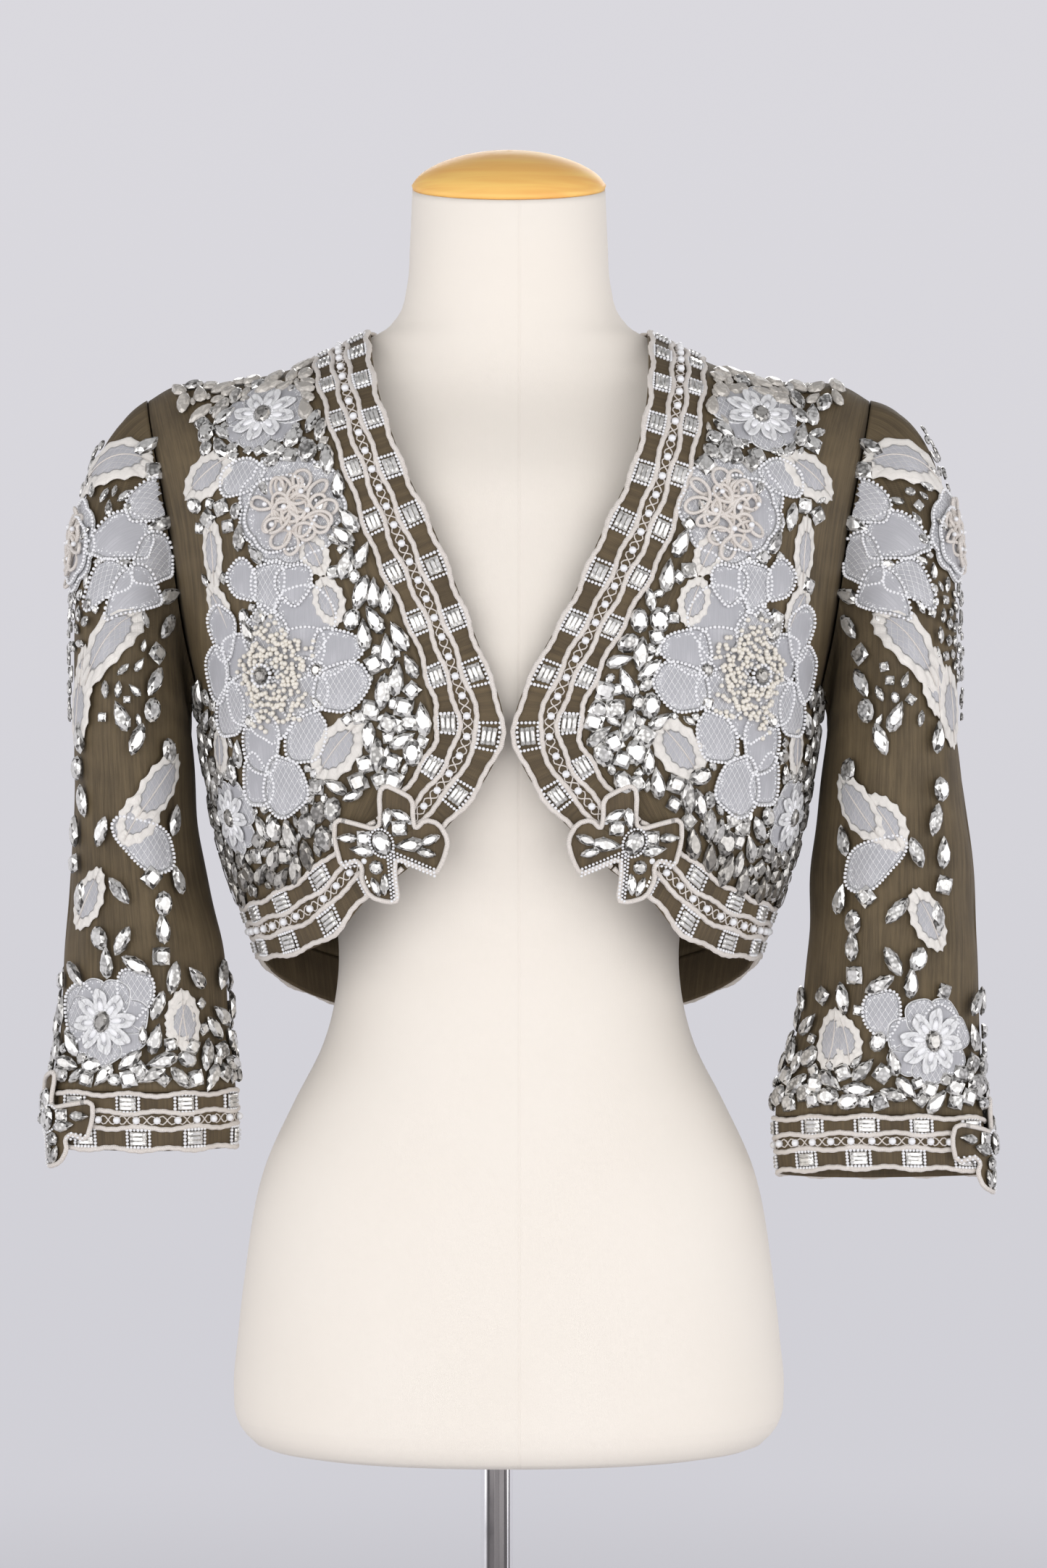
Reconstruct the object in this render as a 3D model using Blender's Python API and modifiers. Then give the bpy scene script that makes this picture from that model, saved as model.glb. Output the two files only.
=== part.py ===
"""Beaded bolero jacket standing on a limbless dress form.

Metres, +Z up, the wearer's left at +X and the front at -Y. The origin is on the floor under
the neck; the pole stands a little to the wearer's right of it. Every cloth piece is a thin
wall on the same two rules: the body is a stack of rounded rings drawn in to the shoulder
line, and each sleeve is a bundle of cubic curves from the armhole to a ring, then a stack of
ellipses down to the cuff.
"""

import math

import bmesh
import bpy
import numpy as np


def table(columns, *rows):
    """A short table: each named column becomes an array with one value for each row."""
    values = np.array(rows, dtype=float)
    return {name: values[:, index] for index, name in enumerate(columns.split())}


# Driving sizes of the cloth
CLOTH_WALL = 0.0015
BAND_WALL = 0.0018
SEAM_INSET = 0.0002
ARMHOLE_EASE = 0.0010
PIPING_HEIGHT = 0.0020
CRYSTAL_HEIGHT = 0.0022
PLATE_LIFT = 0.0006
SLEEVE_PLATE_LIFT = 0.0010
CUFF_BOW_LIFT = 0.0034
BOW_LIFT = 0.0028
SQUARENESS = 2.4
SIDE_SEAM_Y = 0.005
RIDGE_NECK_Y = 0.012
SHOULDER_ROLL = 0.085
NECK_OUT = 0.0853
BAND_OUT = 0.1193
SHOULDER_OUT = 0.2213
UNDERARM_HEIGHT = 0.982
HEM_HEIGHT = 0.822
HEM_BAND_TOP = 0.8525
BACK_HEM_DIP = 0.048
BICEP_HEIGHT = 0.955

# How a sleeve's cap leaves the armhole and meets the tube, as shares of its reach
CAP_LEAVE = 0.27
CAP_ARRIVE = 0.38
CAP_FORWARD = 0.35
ARMPIT_OUT = 0.15
CUFF_GAP = 0.001

# Grid counts, shared by the pieces that meet at a seam
SIDE_ROWS = 7
ARMHOLE_ROWS = 12
FRONT_COLUMNS = 12
SHOULDER_COLUMNS = 5
NECK_COLUMNS = 12
CAP_ROWS = 6
TUBE_ROWS = 7
SIDE_SHARE = 0.40
ROW_CROWDING = 1.8

# Driving sizes of the form and the stand
FORM_BOTTOM = 0.520
FORM_SQUARENESS = 2.1
FORM_CLEARANCE = 0.0034
SHOULDER_REST = 0.004
FORM_SIDES = 24
NECK_TOP = 1.292
NECK_TILT = 0.26
NECK_TILT_START = 1.245
CAP_DEPTH_SCALE = 0.93
CAP_CENTRE_Y = 0.005
POLE_RADIUS = 0.010
BASE_RADIUS = 0.150
BASE_HEIGHT = 0.010
BASE_EDGE = 0.002
SEAT_GAP = 0.0003
STAND_OUT = -0.0075

SHOULDER = table(
    "out height",
    (0.0000, 1.2360), (0.0500, 1.2240), (0.0862, 1.2050), (0.1100, 1.1925),
    (0.1300, 1.1840), (0.1680, 1.1750), (0.2090, 1.1705), (0.2213, 1.1630),
)
BODY = table(
    "height half_width front back",
    (0.760, 0.1430, 0.1150, 0.085),
    (0.790, 0.1480, 0.1170, 0.088),
    (0.830, 0.1550, 0.1200, 0.092),
    (0.850, 0.1620, 0.1210, 0.095),
    (0.880, 0.1720, 0.1230, 0.098),
    (0.900, 0.1775, 0.1245, 0.101),
    (0.930, 0.1830, 0.1260, 0.104),
    (0.955, 0.1870, 0.1270, 0.106),
    (0.980, 0.1900, 0.1270, 0.108),
    (1.040, 0.2040, 0.1200, 0.110),
    (1.100, 0.2170, 0.1080, 0.106),
    (1.150, 0.2270, 0.0970, 0.098),
    (1.210, 0.2350, 0.0880, 0.090),
)
# A row for each station down the front edge: the opening edge, then the band's inner line
EDGE = table(
    "edge_out edge_height inner_out inner_height",
    (0.0853, 1.2055, 0.1193, 1.1885),
    (0.0815, 1.1810, 0.1155, 1.1705),
    (0.0760, 1.1568, 0.1085, 1.1480),
    (0.0685, 1.1350, 0.1010, 1.1240),
    (0.0603, 1.1131, 0.0932, 1.1024),
    (0.0512, 1.0940, 0.0850, 1.0785),
    (0.0416, 1.0729, 0.0765, 1.0560),
    (0.0325, 1.0500, 0.0668, 1.0370),
    (0.0233, 1.0258, 0.0557, 1.0125),
    (0.0135, 1.0000, 0.0474, 0.9870),
    (0.0045, 0.9760, 0.0436, 0.9720),
    (0.0020, 0.9600, 0.0424, 0.9620),
    (0.0040, 0.9485, 0.0432, 0.9555),
    (0.0098, 0.9365, 0.0460, 0.9490),
    (0.0192, 0.9212, 0.0505, 0.9410),
    (0.0332, 0.9052, 0.0590, 0.9285),
    (0.0466, 0.8908, 0.0685, 0.9170),
    (0.0600, 0.8770, 0.0780, 0.9080),
)
# How much further out the left front's edge hangs, by its share of the way down
LEFT_OPENING = table(
    "share further",
    (0.00, 0.000), (0.15, 0.007), (0.30, 0.012), (0.45, 0.012), (0.60, 0.009),
    (0.72, 0.003), (0.80, 0.000), (1.00, 0.000),
)
# A row for each station from the front corner to the side seam: hem, then the band's top
HEM = table(
    "hem_out hem_height top_out top_height",
    (0.0600, 0.8770, 0.0780, 0.9080),
    (0.0859, 0.8573, 0.1020, 0.8890),
    (0.1015, 0.8388, 0.1175, 0.8765),
    (0.1162, 0.8303, 0.1310, 0.8675),
    (0.1355, 0.8238, 0.1460, 0.8600),
)
ARMHOLE = table(
    "out height",
    (0.2213, 1.163), (0.2145, 1.130), (0.2075, 1.095),
    (0.2010, 1.050), (0.1955, 1.010), (0.1900, 0.982),
)
BACK_NECK = table(
    "out edge_height band_height",
    (0.0000, 1.1960, 1.1580),
    (0.0400, 1.1985, 1.1610),
    (0.0800, 1.2040, 1.1720),
    (0.1050, 1.2050, 1.1835),
    (0.1193, 1.2055, 1.1885),
)
# A row for each ring of a sleeve below the armpit
SLEEVES = {
    "right": {
        "sign": -1, "cuff_top": 0.7420, "cuff_bottom": 0.7064, "tilt": 0.0,
        "start": (0.92, -0.38), "bow_turn": 20, "rings": table(
            "height out half_width half_depth middle_y",
            (0.690, 0.2212, 0.0548, 0.0320, -0.014),
            (0.700, 0.2215, 0.0550, 0.0320, -0.014),
            (0.735, 0.2225, 0.0565, 0.0340, -0.012),
            (0.780, 0.2220, 0.0520, 0.0400, -0.009),
            (0.830, 0.2230, 0.0490, 0.0470, -0.006),
            (0.880, 0.2270, 0.0415, 0.0540, -0.003),
            (0.955, 0.2300, 0.0375, 0.0620, 0.000)),
    },
    "left": {
        "sign": 1, "cuff_top": 0.7243, "cuff_bottom": 0.6900, "tilt": 0.125,
        "start": (1.05, -0.08), "bow_turn": 6, "rings": table(
            "height out half_width half_depth middle_y",
            (0.670, 0.2280, 0.0630, 0.0320, -0.014),
            (0.680, 0.2280, 0.0630, 0.0320, -0.014),
            (0.735, 0.2260, 0.0630, 0.0340, -0.012),
            (0.780, 0.2320, 0.0560, 0.0400, -0.009),
            (0.830, 0.2345, 0.0525, 0.0470, -0.006),
            (0.880, 0.2345, 0.0505, 0.0540, -0.003),
            (0.955, 0.2345, 0.0415, 0.0620, 0.000)),
    },
}
# Soft folds of a sleeve: where round it (degrees from the outer side), how wide, how deep
SLEEVE_FOLDS = table(
    "turn width depth",
    (62, 26, -0.0030), (104, 28, 0.0025), (144, 28, -0.0035), (250, 30, 0.0030), (300, 28, -0.0030),
)
# The band's profile across its width, from the free edge: four raised cords
BAND_PROFILE = table(
    "share raised",
    (0.00, 0.9), (0.075, 0.0), (0.355, 0.0), (0.395, 1.0), (0.435, 0.0),
    (0.62, 0.0), (0.66, 1.0), (0.70, 0.0), (0.925, 0.0), (1.00, 0.9),
)
FORM = table(
    "height half_width front back middle_y",
    (0.5200, 0.1350, 0.080, 0.088, 0.000),
    (0.5225, 0.1480, 0.090, 0.099, 0.000),
    (0.5290, 0.1590, 0.097, 0.108, 0.000),
    (0.5400, 0.1665, 0.101, 0.113, 0.000),
    (0.5556, 0.1684, 0.102, 0.115, 0.000),
    (0.5910, 0.1658, 0.102, 0.115, 0.000),
    (0.6270, 0.1618, 0.101, 0.113, 0.000),
    (0.6980, 0.1478, 0.096, 0.103, 0.000),
    (0.7330, 0.1316, 0.091, 0.093, 0.000),
    (0.7690, 0.1136, 0.086, 0.082, 0.000),
    (0.8120, 0.1045, 0.083, 0.074, 0.000),
    (0.8600, 0.1080, 0.088, 0.077, 0.000),
    (0.9000, 0.1180, 0.098, 0.084, 0.000),
    (0.9800, 0.1400, 0.115, 0.095, 0.000),
    (1.0300, 0.1480, 0.107, 0.098, 0.002),
    (1.0800, 0.1600, 0.095, 0.096, 0.005),
    (1.1200, 0.1680, 0.082, 0.090, 0.008),
    (1.1450, 0.1640, 0.066, 0.076, 0.010),
    (1.1600, 0.1540, 0.055, 0.064, 0.010),
    (1.1700, 0.1430, 0.046, 0.054, 0.010),
)
NECK = table(
    "height half_width front back middle_y",
    (1.2067, 0.0765, 0.040, 0.054, 0.011),
    (1.2160, 0.0680, 0.044, 0.062, 0.009),
    (1.2333, 0.0627, 0.046, 0.060, 0.006),
    (1.2600, 0.0607, 0.050, 0.060, 0.005),
    (1.2920, 0.0593, 0.050, 0.060, 0.005),
)
CAP_PROFILE = table(
    "out height",
    (0.0000, 0.0236), (0.0160, 0.0224), (0.0318, 0.0192), (0.0462, 0.0138),
    (0.0556, 0.0076), (0.0597, 0.0023), (0.0590, 0.0000), (0.0000, 0.0000),
)
# Raised trims of a front: middle, reach and height; a leaf's heading is degrees from +X
FLOWERS = {
    "blossom_high": (0.1460, 1.1470, 0.0240, 0.0040),
    "rose": (0.1300, 1.0900, 0.0290, 0.0055),
    "bead_flower": (0.1400, 0.9920, 0.0310, 0.0060),
    "blossom_low": (0.1640, 0.9080, 0.0200, 0.0040),
}
LEAVES = {
    "leaf_shoulder": (0.1800, 1.1120, 0.0380, 0.0240, -40),
    "leaf_side": (0.1760, 1.0660, 0.0400, 0.0140, 85),
    "leaf_middle": (0.1720, 1.0330, 0.0300, 0.0150, 60),
    "leaf_waist": (0.1000, 0.9480, 0.0440, 0.0240, -50),
    "leaf_low": (0.1720, 0.9480, 0.0300, 0.0160, 100),
}
# Raised trims of a sleeve: turn round it in degrees, place down it, then the same sizes
SLEEVE_FLOWERS = {
    "rose": (22, 0.52, 0.0280, 0.0055),
    "blossom": (64, 1.80, 0.0220, 0.0040),
}
SLEEVE_LEAVES = {
    "leaf_high": (42, 0.92, 0.0520, 0.0260, 85),
    "leaf_middle": (100, 1.22, 0.0400, 0.0240, 60),
    "leaf_cuff": (118, 1.80, 0.0320, 0.0200, 80),
}
BACK_FLOWERS = {
    "back_rose": (0.0000, 1.0600, 0.0320, 0.0055),
    "back_blossom_left": (0.0950, 1.0900, 0.0250, 0.0040),
    "back_blossom_right": (-0.0950, 1.0900, 0.0250, 0.0040),
}
BACK_LEAVES = {
    "back_leaf_left": (0.0600, 0.9900, 0.0560, 0.0260, -60),
    "back_leaf_right": (-0.0600, 0.9900, 0.0560, 0.0260, -120),
}
BOW_CENTRE = (0.0720, 0.8930)
BOW_REACH = 0.036
CUFF_BOW_REACH = 0.030
LEFT_TRIM_OUT = 0.004
CUFF_SLIT = 0.0020
CRYSTAL_MARGIN = 0.021
# Heights of a raised trim's rim, half way in and middle; a flower's are its rim and two shares
FLOWER_RIM = 0.0015
FLOWER_SHOULDER = 0.75
LEAF_HEIGHTS = (0.0012, 0.0024, 0.0028)
BOW_HEIGHTS = (0.0026, 0.0030, 0.0050)
CUFF_BOW_HEIGHTS = (0.0022, 0.0028, 0.0045)
HALF_WAY_IN = 0.58
NOTCH_SHARE = 0.86
BOW_WAIST = 0.80
BOW_SWING = 0.22
# What covers a raised trim, where it isn't organza
TRIM_FINISH = {"rose": "cord", "bead_flower": "beads", "back_rose": "cord"}

FINISHES = {
    "silk": ((0.145, 0.108, 0.060), 0.62, 0.0),
    "band_silk": ((0.130, 0.096, 0.052), 0.60, 0.0),
    "organza": ((0.62, 0.66, 0.74), 0.55, 0.0),
    "cord": ((0.84, 0.78, 0.68), 0.65, 0.0),
    "beads": ((0.86, 0.82, 0.72), 0.35, 0.0),
    "crystal": ((0.72, 0.72, 0.70), 0.10, 0.6),
    "canvas": ((0.86, 0.78, 0.68), 0.85, 0.0),
    "wood": ((0.80, 0.45, 0.14), 0.25, 0.0),
    "chrome": ((0.62, 0.62, 0.64), 0.12, 1.0),
}


def clear_scene():
    """Remove whatever the file holds."""
    for item in list(bpy.data.objects):
        bpy.data.objects.remove(item, do_unlink=True)


def finish(name):
    """The Principled material of that name, made once."""
    if name in bpy.data.materials:
        return bpy.data.materials[name]
    colour, roughness, metallic = FINISHES[name]
    material = bpy.data.materials.new(name)
    material.use_nodes = True
    shader = material.node_tree.nodes["Principled BSDF"]
    shader.inputs["Base Color"].default_value = (*colour, 1.0)
    shader.inputs["Roughness"].default_value = roughness
    shader.inputs["Metallic"].default_value = metallic
    return material


def place(item, name, material):
    """Name an object and its mesh, give it its finish and put it in the jacket's collection."""
    item.name = name
    item.data.name = name
    item.data.materials.clear()
    item.data.materials.append(finish(material))
    for owner in list(item.users_collection):
        owner.objects.unlink(item)
    bpy.data.collections["bolero_jacket_on_dress_form"].objects.link(item)
    return item


def solid(name, points, faces, material):
    """A mesh object whose faces are turned to point out of the body they close."""
    mesh = bpy.data.meshes.new(name)
    mesh.from_pydata(np.asarray(points).tolist(), [], faces)
    work = bmesh.new()
    work.from_mesh(mesh)
    if work.calc_volume(signed=True) < 0:
        bmesh.ops.reverse_faces(work, faces=work.faces)
    work.to_mesh(mesh)
    work.free()
    return place(bpy.data.objects.new(name, mesh), name, material)


def smooth(at, xs, ys):
    """A smooth curve through (xs, ys): cubics whose end slopes are the mean slopes there."""
    at = np.clip(at, xs[0], xs[-1])
    slopes = np.gradient(ys, xs)
    left = np.clip(np.searchsorted(xs, at, side="right") - 1, 0, len(xs) - 2)
    step = xs[left + 1] - xs[left]
    t = (at - xs[left]) / step
    value = (1 + 2 * t) * (1 - t) ** 2 * ys[left] + t * t * (3 - 2 * t) * ys[left + 1]
    return value + step * (t * (1 - t) ** 2 * slopes[left] - t * t * (1 - t) * slopes[left + 1])


def lengths(x, y):
    """The share of a line's length at each of its points."""
    steps = np.hypot(np.diff(x), np.diff(y))
    return np.concatenate([[0.0], np.cumsum(steps)]) / steps.sum()


def shoulder_height(out):
    """Height of the shoulder seam at a distance from the middle."""
    return smooth(np.abs(out), SHOULDER["out"], SHOULDER["height"])


def half_width(height):
    """Half the body's width at a height."""
    return smooth(height, BODY["height"], BODY["half_width"])


def turn_at(out, height):
    """How far round the ring a point lies: 0 at the middle, a quarter circle at the side."""
    return np.arcsin(np.clip(out / half_width(height), -1, 1))


def body_point(turn, height, face):
    """The body's cloth: a rounded ring at each height, drawn in to the shoulder line.

    Over the shoulder's roll the depth shrinks as a quarter circle does, to nothing at the
    seam. face is -1 in front and 1 behind.
    """
    depth = smooth(height, BODY["height"], BODY["front"] if face < 0 else BODY["back"])
    out = half_width(height) * np.sin(turn)
    round_off = (1 - np.abs(np.sin(turn)) ** SQUARENESS) ** (1 / SQUARENESS)
    ring = SIDE_SEAM_Y + (face * depth - SIDE_SEAM_Y) * np.sign(np.cos(turn)) * round_off
    reach = np.clip((shoulder_height(out) - height) / SHOULDER_ROLL, 0, 1)
    roll = np.sqrt(1 - (1 - reach) ** 2)
    ridge = np.interp(np.abs(out), (NECK_OUT, SHOULDER_OUT), (RIDGE_NECK_Y, SIDE_SEAM_Y))
    return np.stack([out, ridge + roll * (ring - ridge), height + 0 * out], axis=-1)


def partials(surface, u, v, step=1e-4):
    """How a surface's points move with each of its two numbers."""
    along_u = (surface(u + step, v) - surface(u - step, v)) / (2 * step)
    along_v = (surface(u, v + step) - surface(u, v - step)) / (2 * step)
    return along_u, along_v


def normals(surface, u, v, sign):
    """Unit normals of a surface, from its two partials."""
    along_u, along_v = partials(surface, u, v)
    facing = np.cross(along_u, along_v) * sign
    return facing / np.linalg.norm(facing, axis=-1, keepdims=True)


def body_normal(turn, height, face):
    """Unit normals of the body; on the shoulder seam they stand square to its slope."""
    facing = normals(lambda u, v: body_point(u, v, face), turn, height, -face)
    out = half_width(height) * np.sin(turn)
    step = 1e-4
    slope = (shoulder_height(np.abs(out) + step) - shoulder_height(np.abs(out) - step)) / (2 * step)
    ridge = np.stack([-slope * np.sign(out), 0 * out, 1 + 0 * out], axis=-1)
    ridge /= np.linalg.norm(ridge, axis=-1, keepdims=True)
    on_seam = (shoulder_height(out) - height) < 0.01 * SHOULDER_ROLL
    return np.where(on_seam[..., None], ridge, facing)


def rows_down():
    """Shares of a front's height, from the hem band up: even on the side, closer near the top."""
    side = np.linspace(0, SIDE_SHARE, SIDE_ROWS + 1)[:-1]
    rise = 1 - np.linspace(1, 0, ARMHOLE_ROWS + 1) ** ROW_CROWDING
    return np.concatenate([side, SIDE_SHARE + (1 - SIDE_SHARE) * rise])


def armhole_line():
    """Points down the armhole from the shoulder point, at the rows the body and sleeve share."""
    share = np.linspace(0, 1, ARMHOLE_ROWS + 1) ** ROW_CROWDING
    at = lengths(ARMHOLE["out"], ARMHOLE["height"])
    return smooth(share, at, ARMHOLE["out"]), smooth(share, at, ARMHOLE["height"])


def right_edge(side_bottom):
    """Out and height of a panel's outer edge: up the side seam, then up the armhole."""
    side_height = np.linspace(side_bottom, UNDERARM_HEIGHT, SIDE_ROWS + 1)[:-1]
    out, height = armhole_line()
    return (np.concatenate([half_width(side_height), out[::-1]]),
            np.concatenate([side_height, height[::-1]]))


def patch(low, high, left, right):
    """Fill four edge lines: each point mixes the lines across it, less the mix of the corners."""
    u = np.linspace(0, 1, len(low))[None, :, None]
    v = np.linspace(0, 1, len(left))[:, None, None]
    mixed = (1 - u) * left[:, None] + u * right[:, None] + (1 - v) * low[None] + v * high[None]
    corners = (1 - u) * ((1 - v) * low[0] + v * high[0]) + u * ((1 - v) * low[-1] + v * high[-1])
    return mixed - corners


def turned(out, height):
    """Pair each point's turn with its height."""
    return np.stack([turn_at(out, height), height + 0 * out], axis=-1)


def inset(points):
    """Draw a grid's four edges in by the seam's allowance."""
    for rim, inner in ((np.s_[0], np.s_[1]), (np.s_[-1], np.s_[-2]),
                       (np.s_[:, 0], np.s_[:, 1]), (np.s_[:, -1], np.s_[:, -2])):
        away = points[inner] - points[rim]
        points[rim] += SEAM_INSET * away / np.linalg.norm(away, axis=-1, keepdims=True)
    return points


def wall(name, outer, inner, material):
    """A closed wall between two grids of the same size."""
    rows, columns = outer.shape[:2]
    count = rows * columns
    index = np.arange(count).reshape(rows, columns)

    def cells(grid):
        """The four corners of each cell of a grid of point numbers."""
        return np.stack([grid[:-1, :-1], grid[:-1, 1:], grid[1:, 1:], grid[1:, :-1]], -1).reshape(-1, 4)

    rim = np.concatenate([index[0, :-1], index[:-1, -1], index[-1, :0:-1], index[:0:-1, 0]])
    after = np.roll(rim, -1)
    faces = cells(index).tolist() + (cells(index) + count)[:, ::-1].tolist()
    faces += np.stack([after, rim, rim + count, after + count], -1).tolist()
    points = np.concatenate([outer.reshape(-1, 3), inner.reshape(-1, 3)])
    return solid(name, points, faces, material)


def front_grid(side):
    """Turn and height of each point of a front panel, laid out on the wearer's left."""
    stations = edge_stations(side)
    left = turned(stations[:, 2], stations[:, 3])
    right = turned(*right_edge(HEM_BAND_TOP))
    right[:SIDE_ROWS + 1, 0] = math.pi / 2
    low = hem_stations()[:, 2:]
    low = turned(low[:, 0], low[:, 1])
    low[-1, 0] = math.pi / 2
    top_out = np.linspace(BAND_OUT, SHOULDER_OUT, FRONT_COLUMNS + 1)
    high = turned(top_out, shoulder_height(top_out))
    high[0] = left[-1]
    high[-1] = right[-1]
    return patch(low, high, left, right)


def edge_stations(side):
    """The front edge band's stations, one for each row of the front panel it is sewn to."""
    at = lengths(EDGE["inner_out"], EDGE["inner_height"])
    shares = 1 - rows_down()
    columns = ("edge_out", "edge_height", "inner_out", "inner_height")
    stations = np.stack([smooth(shares, at, EDGE[name]) for name in columns], axis=-1)
    if side == "left":
        further = smooth(shares, LEFT_OPENING["share"], LEFT_OPENING["further"])
        stations[:, [0, 2]] += further[:, None]
    return stations


def hem_stations():
    """The hem band's stations from the front corner to the side seam."""
    side = (half_width(HEM_HEIGHT), HEM_HEIGHT, half_width(HEM_BAND_TOP), HEM_BAND_TOP)
    columns = ("hem_out", "hem_height", "top_out", "top_height")
    line = [np.append(HEM[name], end) for name, end in zip(columns, side)]
    at = lengths(line[2], line[3])
    shares = np.linspace(0, 1, FRONT_COLUMNS + 1)
    return np.stack([smooth(shares, at, column) for column in line], axis=-1)


def clear_of_trims(out, height):
    """True where a front has no raised trim near, so that loose crystals cover the cloth."""
    free = np.hypot(out - BOW_CENTRE[0], height - BOW_CENTRE[1]) > BOW_REACH + CRYSTAL_MARGIN
    for middle, level, reach, _ in FLOWERS.values():
        free &= np.hypot(out - middle, height - level) > reach + CRYSTAL_MARGIN
    for middle, level, length, _, _ in LEAVES.values():
        free &= np.hypot(out - middle, height - level) > length / 2 + CRYSTAL_MARGIN
    return free


def make_front(side, sign):
    """A front panel; where crystals cover it, every other point of its outer face is raised."""
    grid = front_grid(side)
    points = inset(body_point(grid[..., 0], grid[..., 1], -1))
    facing = body_normal(grid[..., 0], grid[..., 1], -1)
    row, column = np.indices(grid.shape[:2])
    inside = (row > 0) & (column > 0) & (row < row.max() - 1) & (column < column.max() - 1)
    raised = inside & ((row + column) % 2 == 0) & clear_of_trims(points[..., 0], points[..., 2])
    outer = points + facing * (CRYSTAL_HEIGHT * raised)[..., None]
    inner = points - facing * CLOTH_WALL
    mirror = np.array([sign, 1, 1])
    return wall("front_" + side, outer * mirror, inner * mirror, "silk")


def neck_stations():
    """Stations across the back of the neck, closer where the band bends over the shoulders."""
    return BAND_OUT * np.sin(np.linspace(math.pi / 2, -math.pi / 2, NECK_COLUMNS + 1))


def make_back():
    """The back panel, from side seam to side seam, below the neck band and above the hem band."""
    right = turned(*right_edge(HEM_BAND_TOP))
    right[:SIDE_ROWS + 1, 0] = math.pi / 2
    shoulder_out = np.linspace(SHOULDER_OUT, BAND_OUT, SHOULDER_COLUMNS + 1)[:-1]
    neck_out = neck_stations()
    neck_height = smooth(np.abs(neck_out), BACK_NECK["out"], BACK_NECK["band_height"])
    half = turned(shoulder_out, shoulder_height(shoulder_out))
    half[0] = right[-1]
    high = np.concatenate([half, turned(neck_out, neck_height), half[::-1] * (-1, 1)])[::-1]
    low_turn = np.linspace(-math.pi / 2, math.pi / 2, len(high))
    low = np.stack([low_turn, back_hem(low_turn) + HEM_BAND_TOP - HEM_HEIGHT], axis=-1)
    grid = patch(low, high, right * (-1, 1), right)
    points = inset(body_point(grid[..., 0], grid[..., 1], 1))
    facing = body_normal(grid[..., 0], grid[..., 1], 1)
    return wall("back", points, points - facing * CLOTH_WALL, "silk")


def back_hem(turn):
    """Height of the back's hem, which dips towards the middle."""
    return HEM_HEIGHT - BACK_HEM_DIP * np.cos(turn)


def loft(name, rings, material):
    """A closed body through a row of rings with the same number of points, capped at its ends."""
    stations, count = rings.shape[:2]
    index = np.arange(stations * count).reshape(stations, count)
    around = np.roll(index, -1, axis=1)
    faces = np.stack([index[:-1], around[:-1], around[1:], index[1:]], -1).reshape(-1, 4).tolist()
    faces += [index[0, ::-1].tolist(), index[-1].tolist()]
    return solid(name, rings.reshape(-1, 3), faces, material)


def band_rings(free, sewn, at_surface, at_normal):
    """Rings of a trimmed band between its free edge and its sewn edge.

    The outer side follows the band's profile of four cords, and the inner side is plain.
    """
    share = np.concatenate([BAND_PROFILE["share"], (1.0, 0.5, 0.0)])
    raised = np.concatenate([BAND_PROFILE["raised"] * PIPING_HEIGHT, np.full(3, -BAND_WALL)])
    across = free[:, None] + (sewn - free)[:, None] * share[None, :, None]
    points = at_surface(across[..., 0], across[..., 1])
    width = np.linalg.norm(points[:, len(BAND_PROFILE["share"]) - 1] - points[:, 0], axis=-1)
    allowance = SEAM_INSET / width
    share = np.clip(share, allowance[:, None], 1 - allowance[:, None])
    across = free[:, None] + (sewn - free)[:, None] * share[..., None]
    points = at_surface(across[..., 0], across[..., 1])
    facing = at_normal(across[..., 0], across[..., 1])
    rings = points + facing * raised[None, :, None]
    for end, step in ((0, 1), (-1, -2)):
        away = rings[step] - rings[end]
        rings[end] += SEAM_INSET * away / np.linalg.norm(away, axis=-1, keepdims=True)
    return rings


def front_band(name, stations, sign):
    """A band on the front's surface, from stations given as free edge and sewn edge."""
    free = turned(stations[:, 0], stations[:, 1])
    sewn = turned(stations[:, 2], stations[:, 3])
    rings = band_rings(free, sewn, lambda u, v: body_point(u, v, -1), lambda u, v: body_normal(u, v, -1))
    return loft(name, rings * (sign, 1, 1), "band_silk")


def make_bands():
    """The bands round the jacket's edge: two fronts, three hems and the back of the neck."""
    for side, sign in (("left", 1), ("right", -1)):
        front_band("edge_band_" + side, edge_stations(side), sign)
        hem = hem_stations()
        front_band("hem_band_" + side, hem, sign)
    turn = np.linspace(-math.pi / 2, math.pi / 2, 2 * SHOULDER_COLUMNS + NECK_COLUMNS + 1)
    free = np.stack([turn, back_hem(turn)], axis=-1)
    sewn = free + (0, HEM_BAND_TOP - HEM_HEIGHT)
    rings = band_rings(free, sewn, lambda u, v: body_point(u, v, 1), lambda u, v: body_normal(u, v, 1))
    loft("hem_band_back", rings, "band_silk")
    sewn_out = neck_stations()
    free_out = sewn_out * NECK_OUT / BAND_OUT
    at = np.abs(sewn_out)
    free = turned(free_out, smooth(at, BACK_NECK["out"], BACK_NECK["edge_height"]))
    sewn = turned(sewn_out, smooth(at, BACK_NECK["out"], BACK_NECK["band_height"]))
    rings = band_rings(free, sewn, lambda u, v: body_point(u, v, 1), lambda u, v: body_normal(u, v, 1))
    loft("neck_band_back", rings, "band_silk")


def armhole_loop(turn):
    """The armhole as a loop: over the front from the shoulder point, under the arm and back."""
    part = np.mod(turn, 2 * math.pi) / math.pi
    down = np.where(part > 1, 2 - part, part) ** ROW_CROWDING
    at = lengths(ARMHOLE["out"], ARMHOLE["height"])
    out = smooth(down, at, ARMHOLE["out"])
    height = smooth(down, at, ARMHOLE["height"])
    angle = turn_at(out, height)
    point = np.where((part > 1)[..., None], body_point(angle, height, 1), body_point(angle, height, -1))
    return point + (ARMHOLE_EASE, 0, ARMHOLE_EASE / 2)


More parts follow.
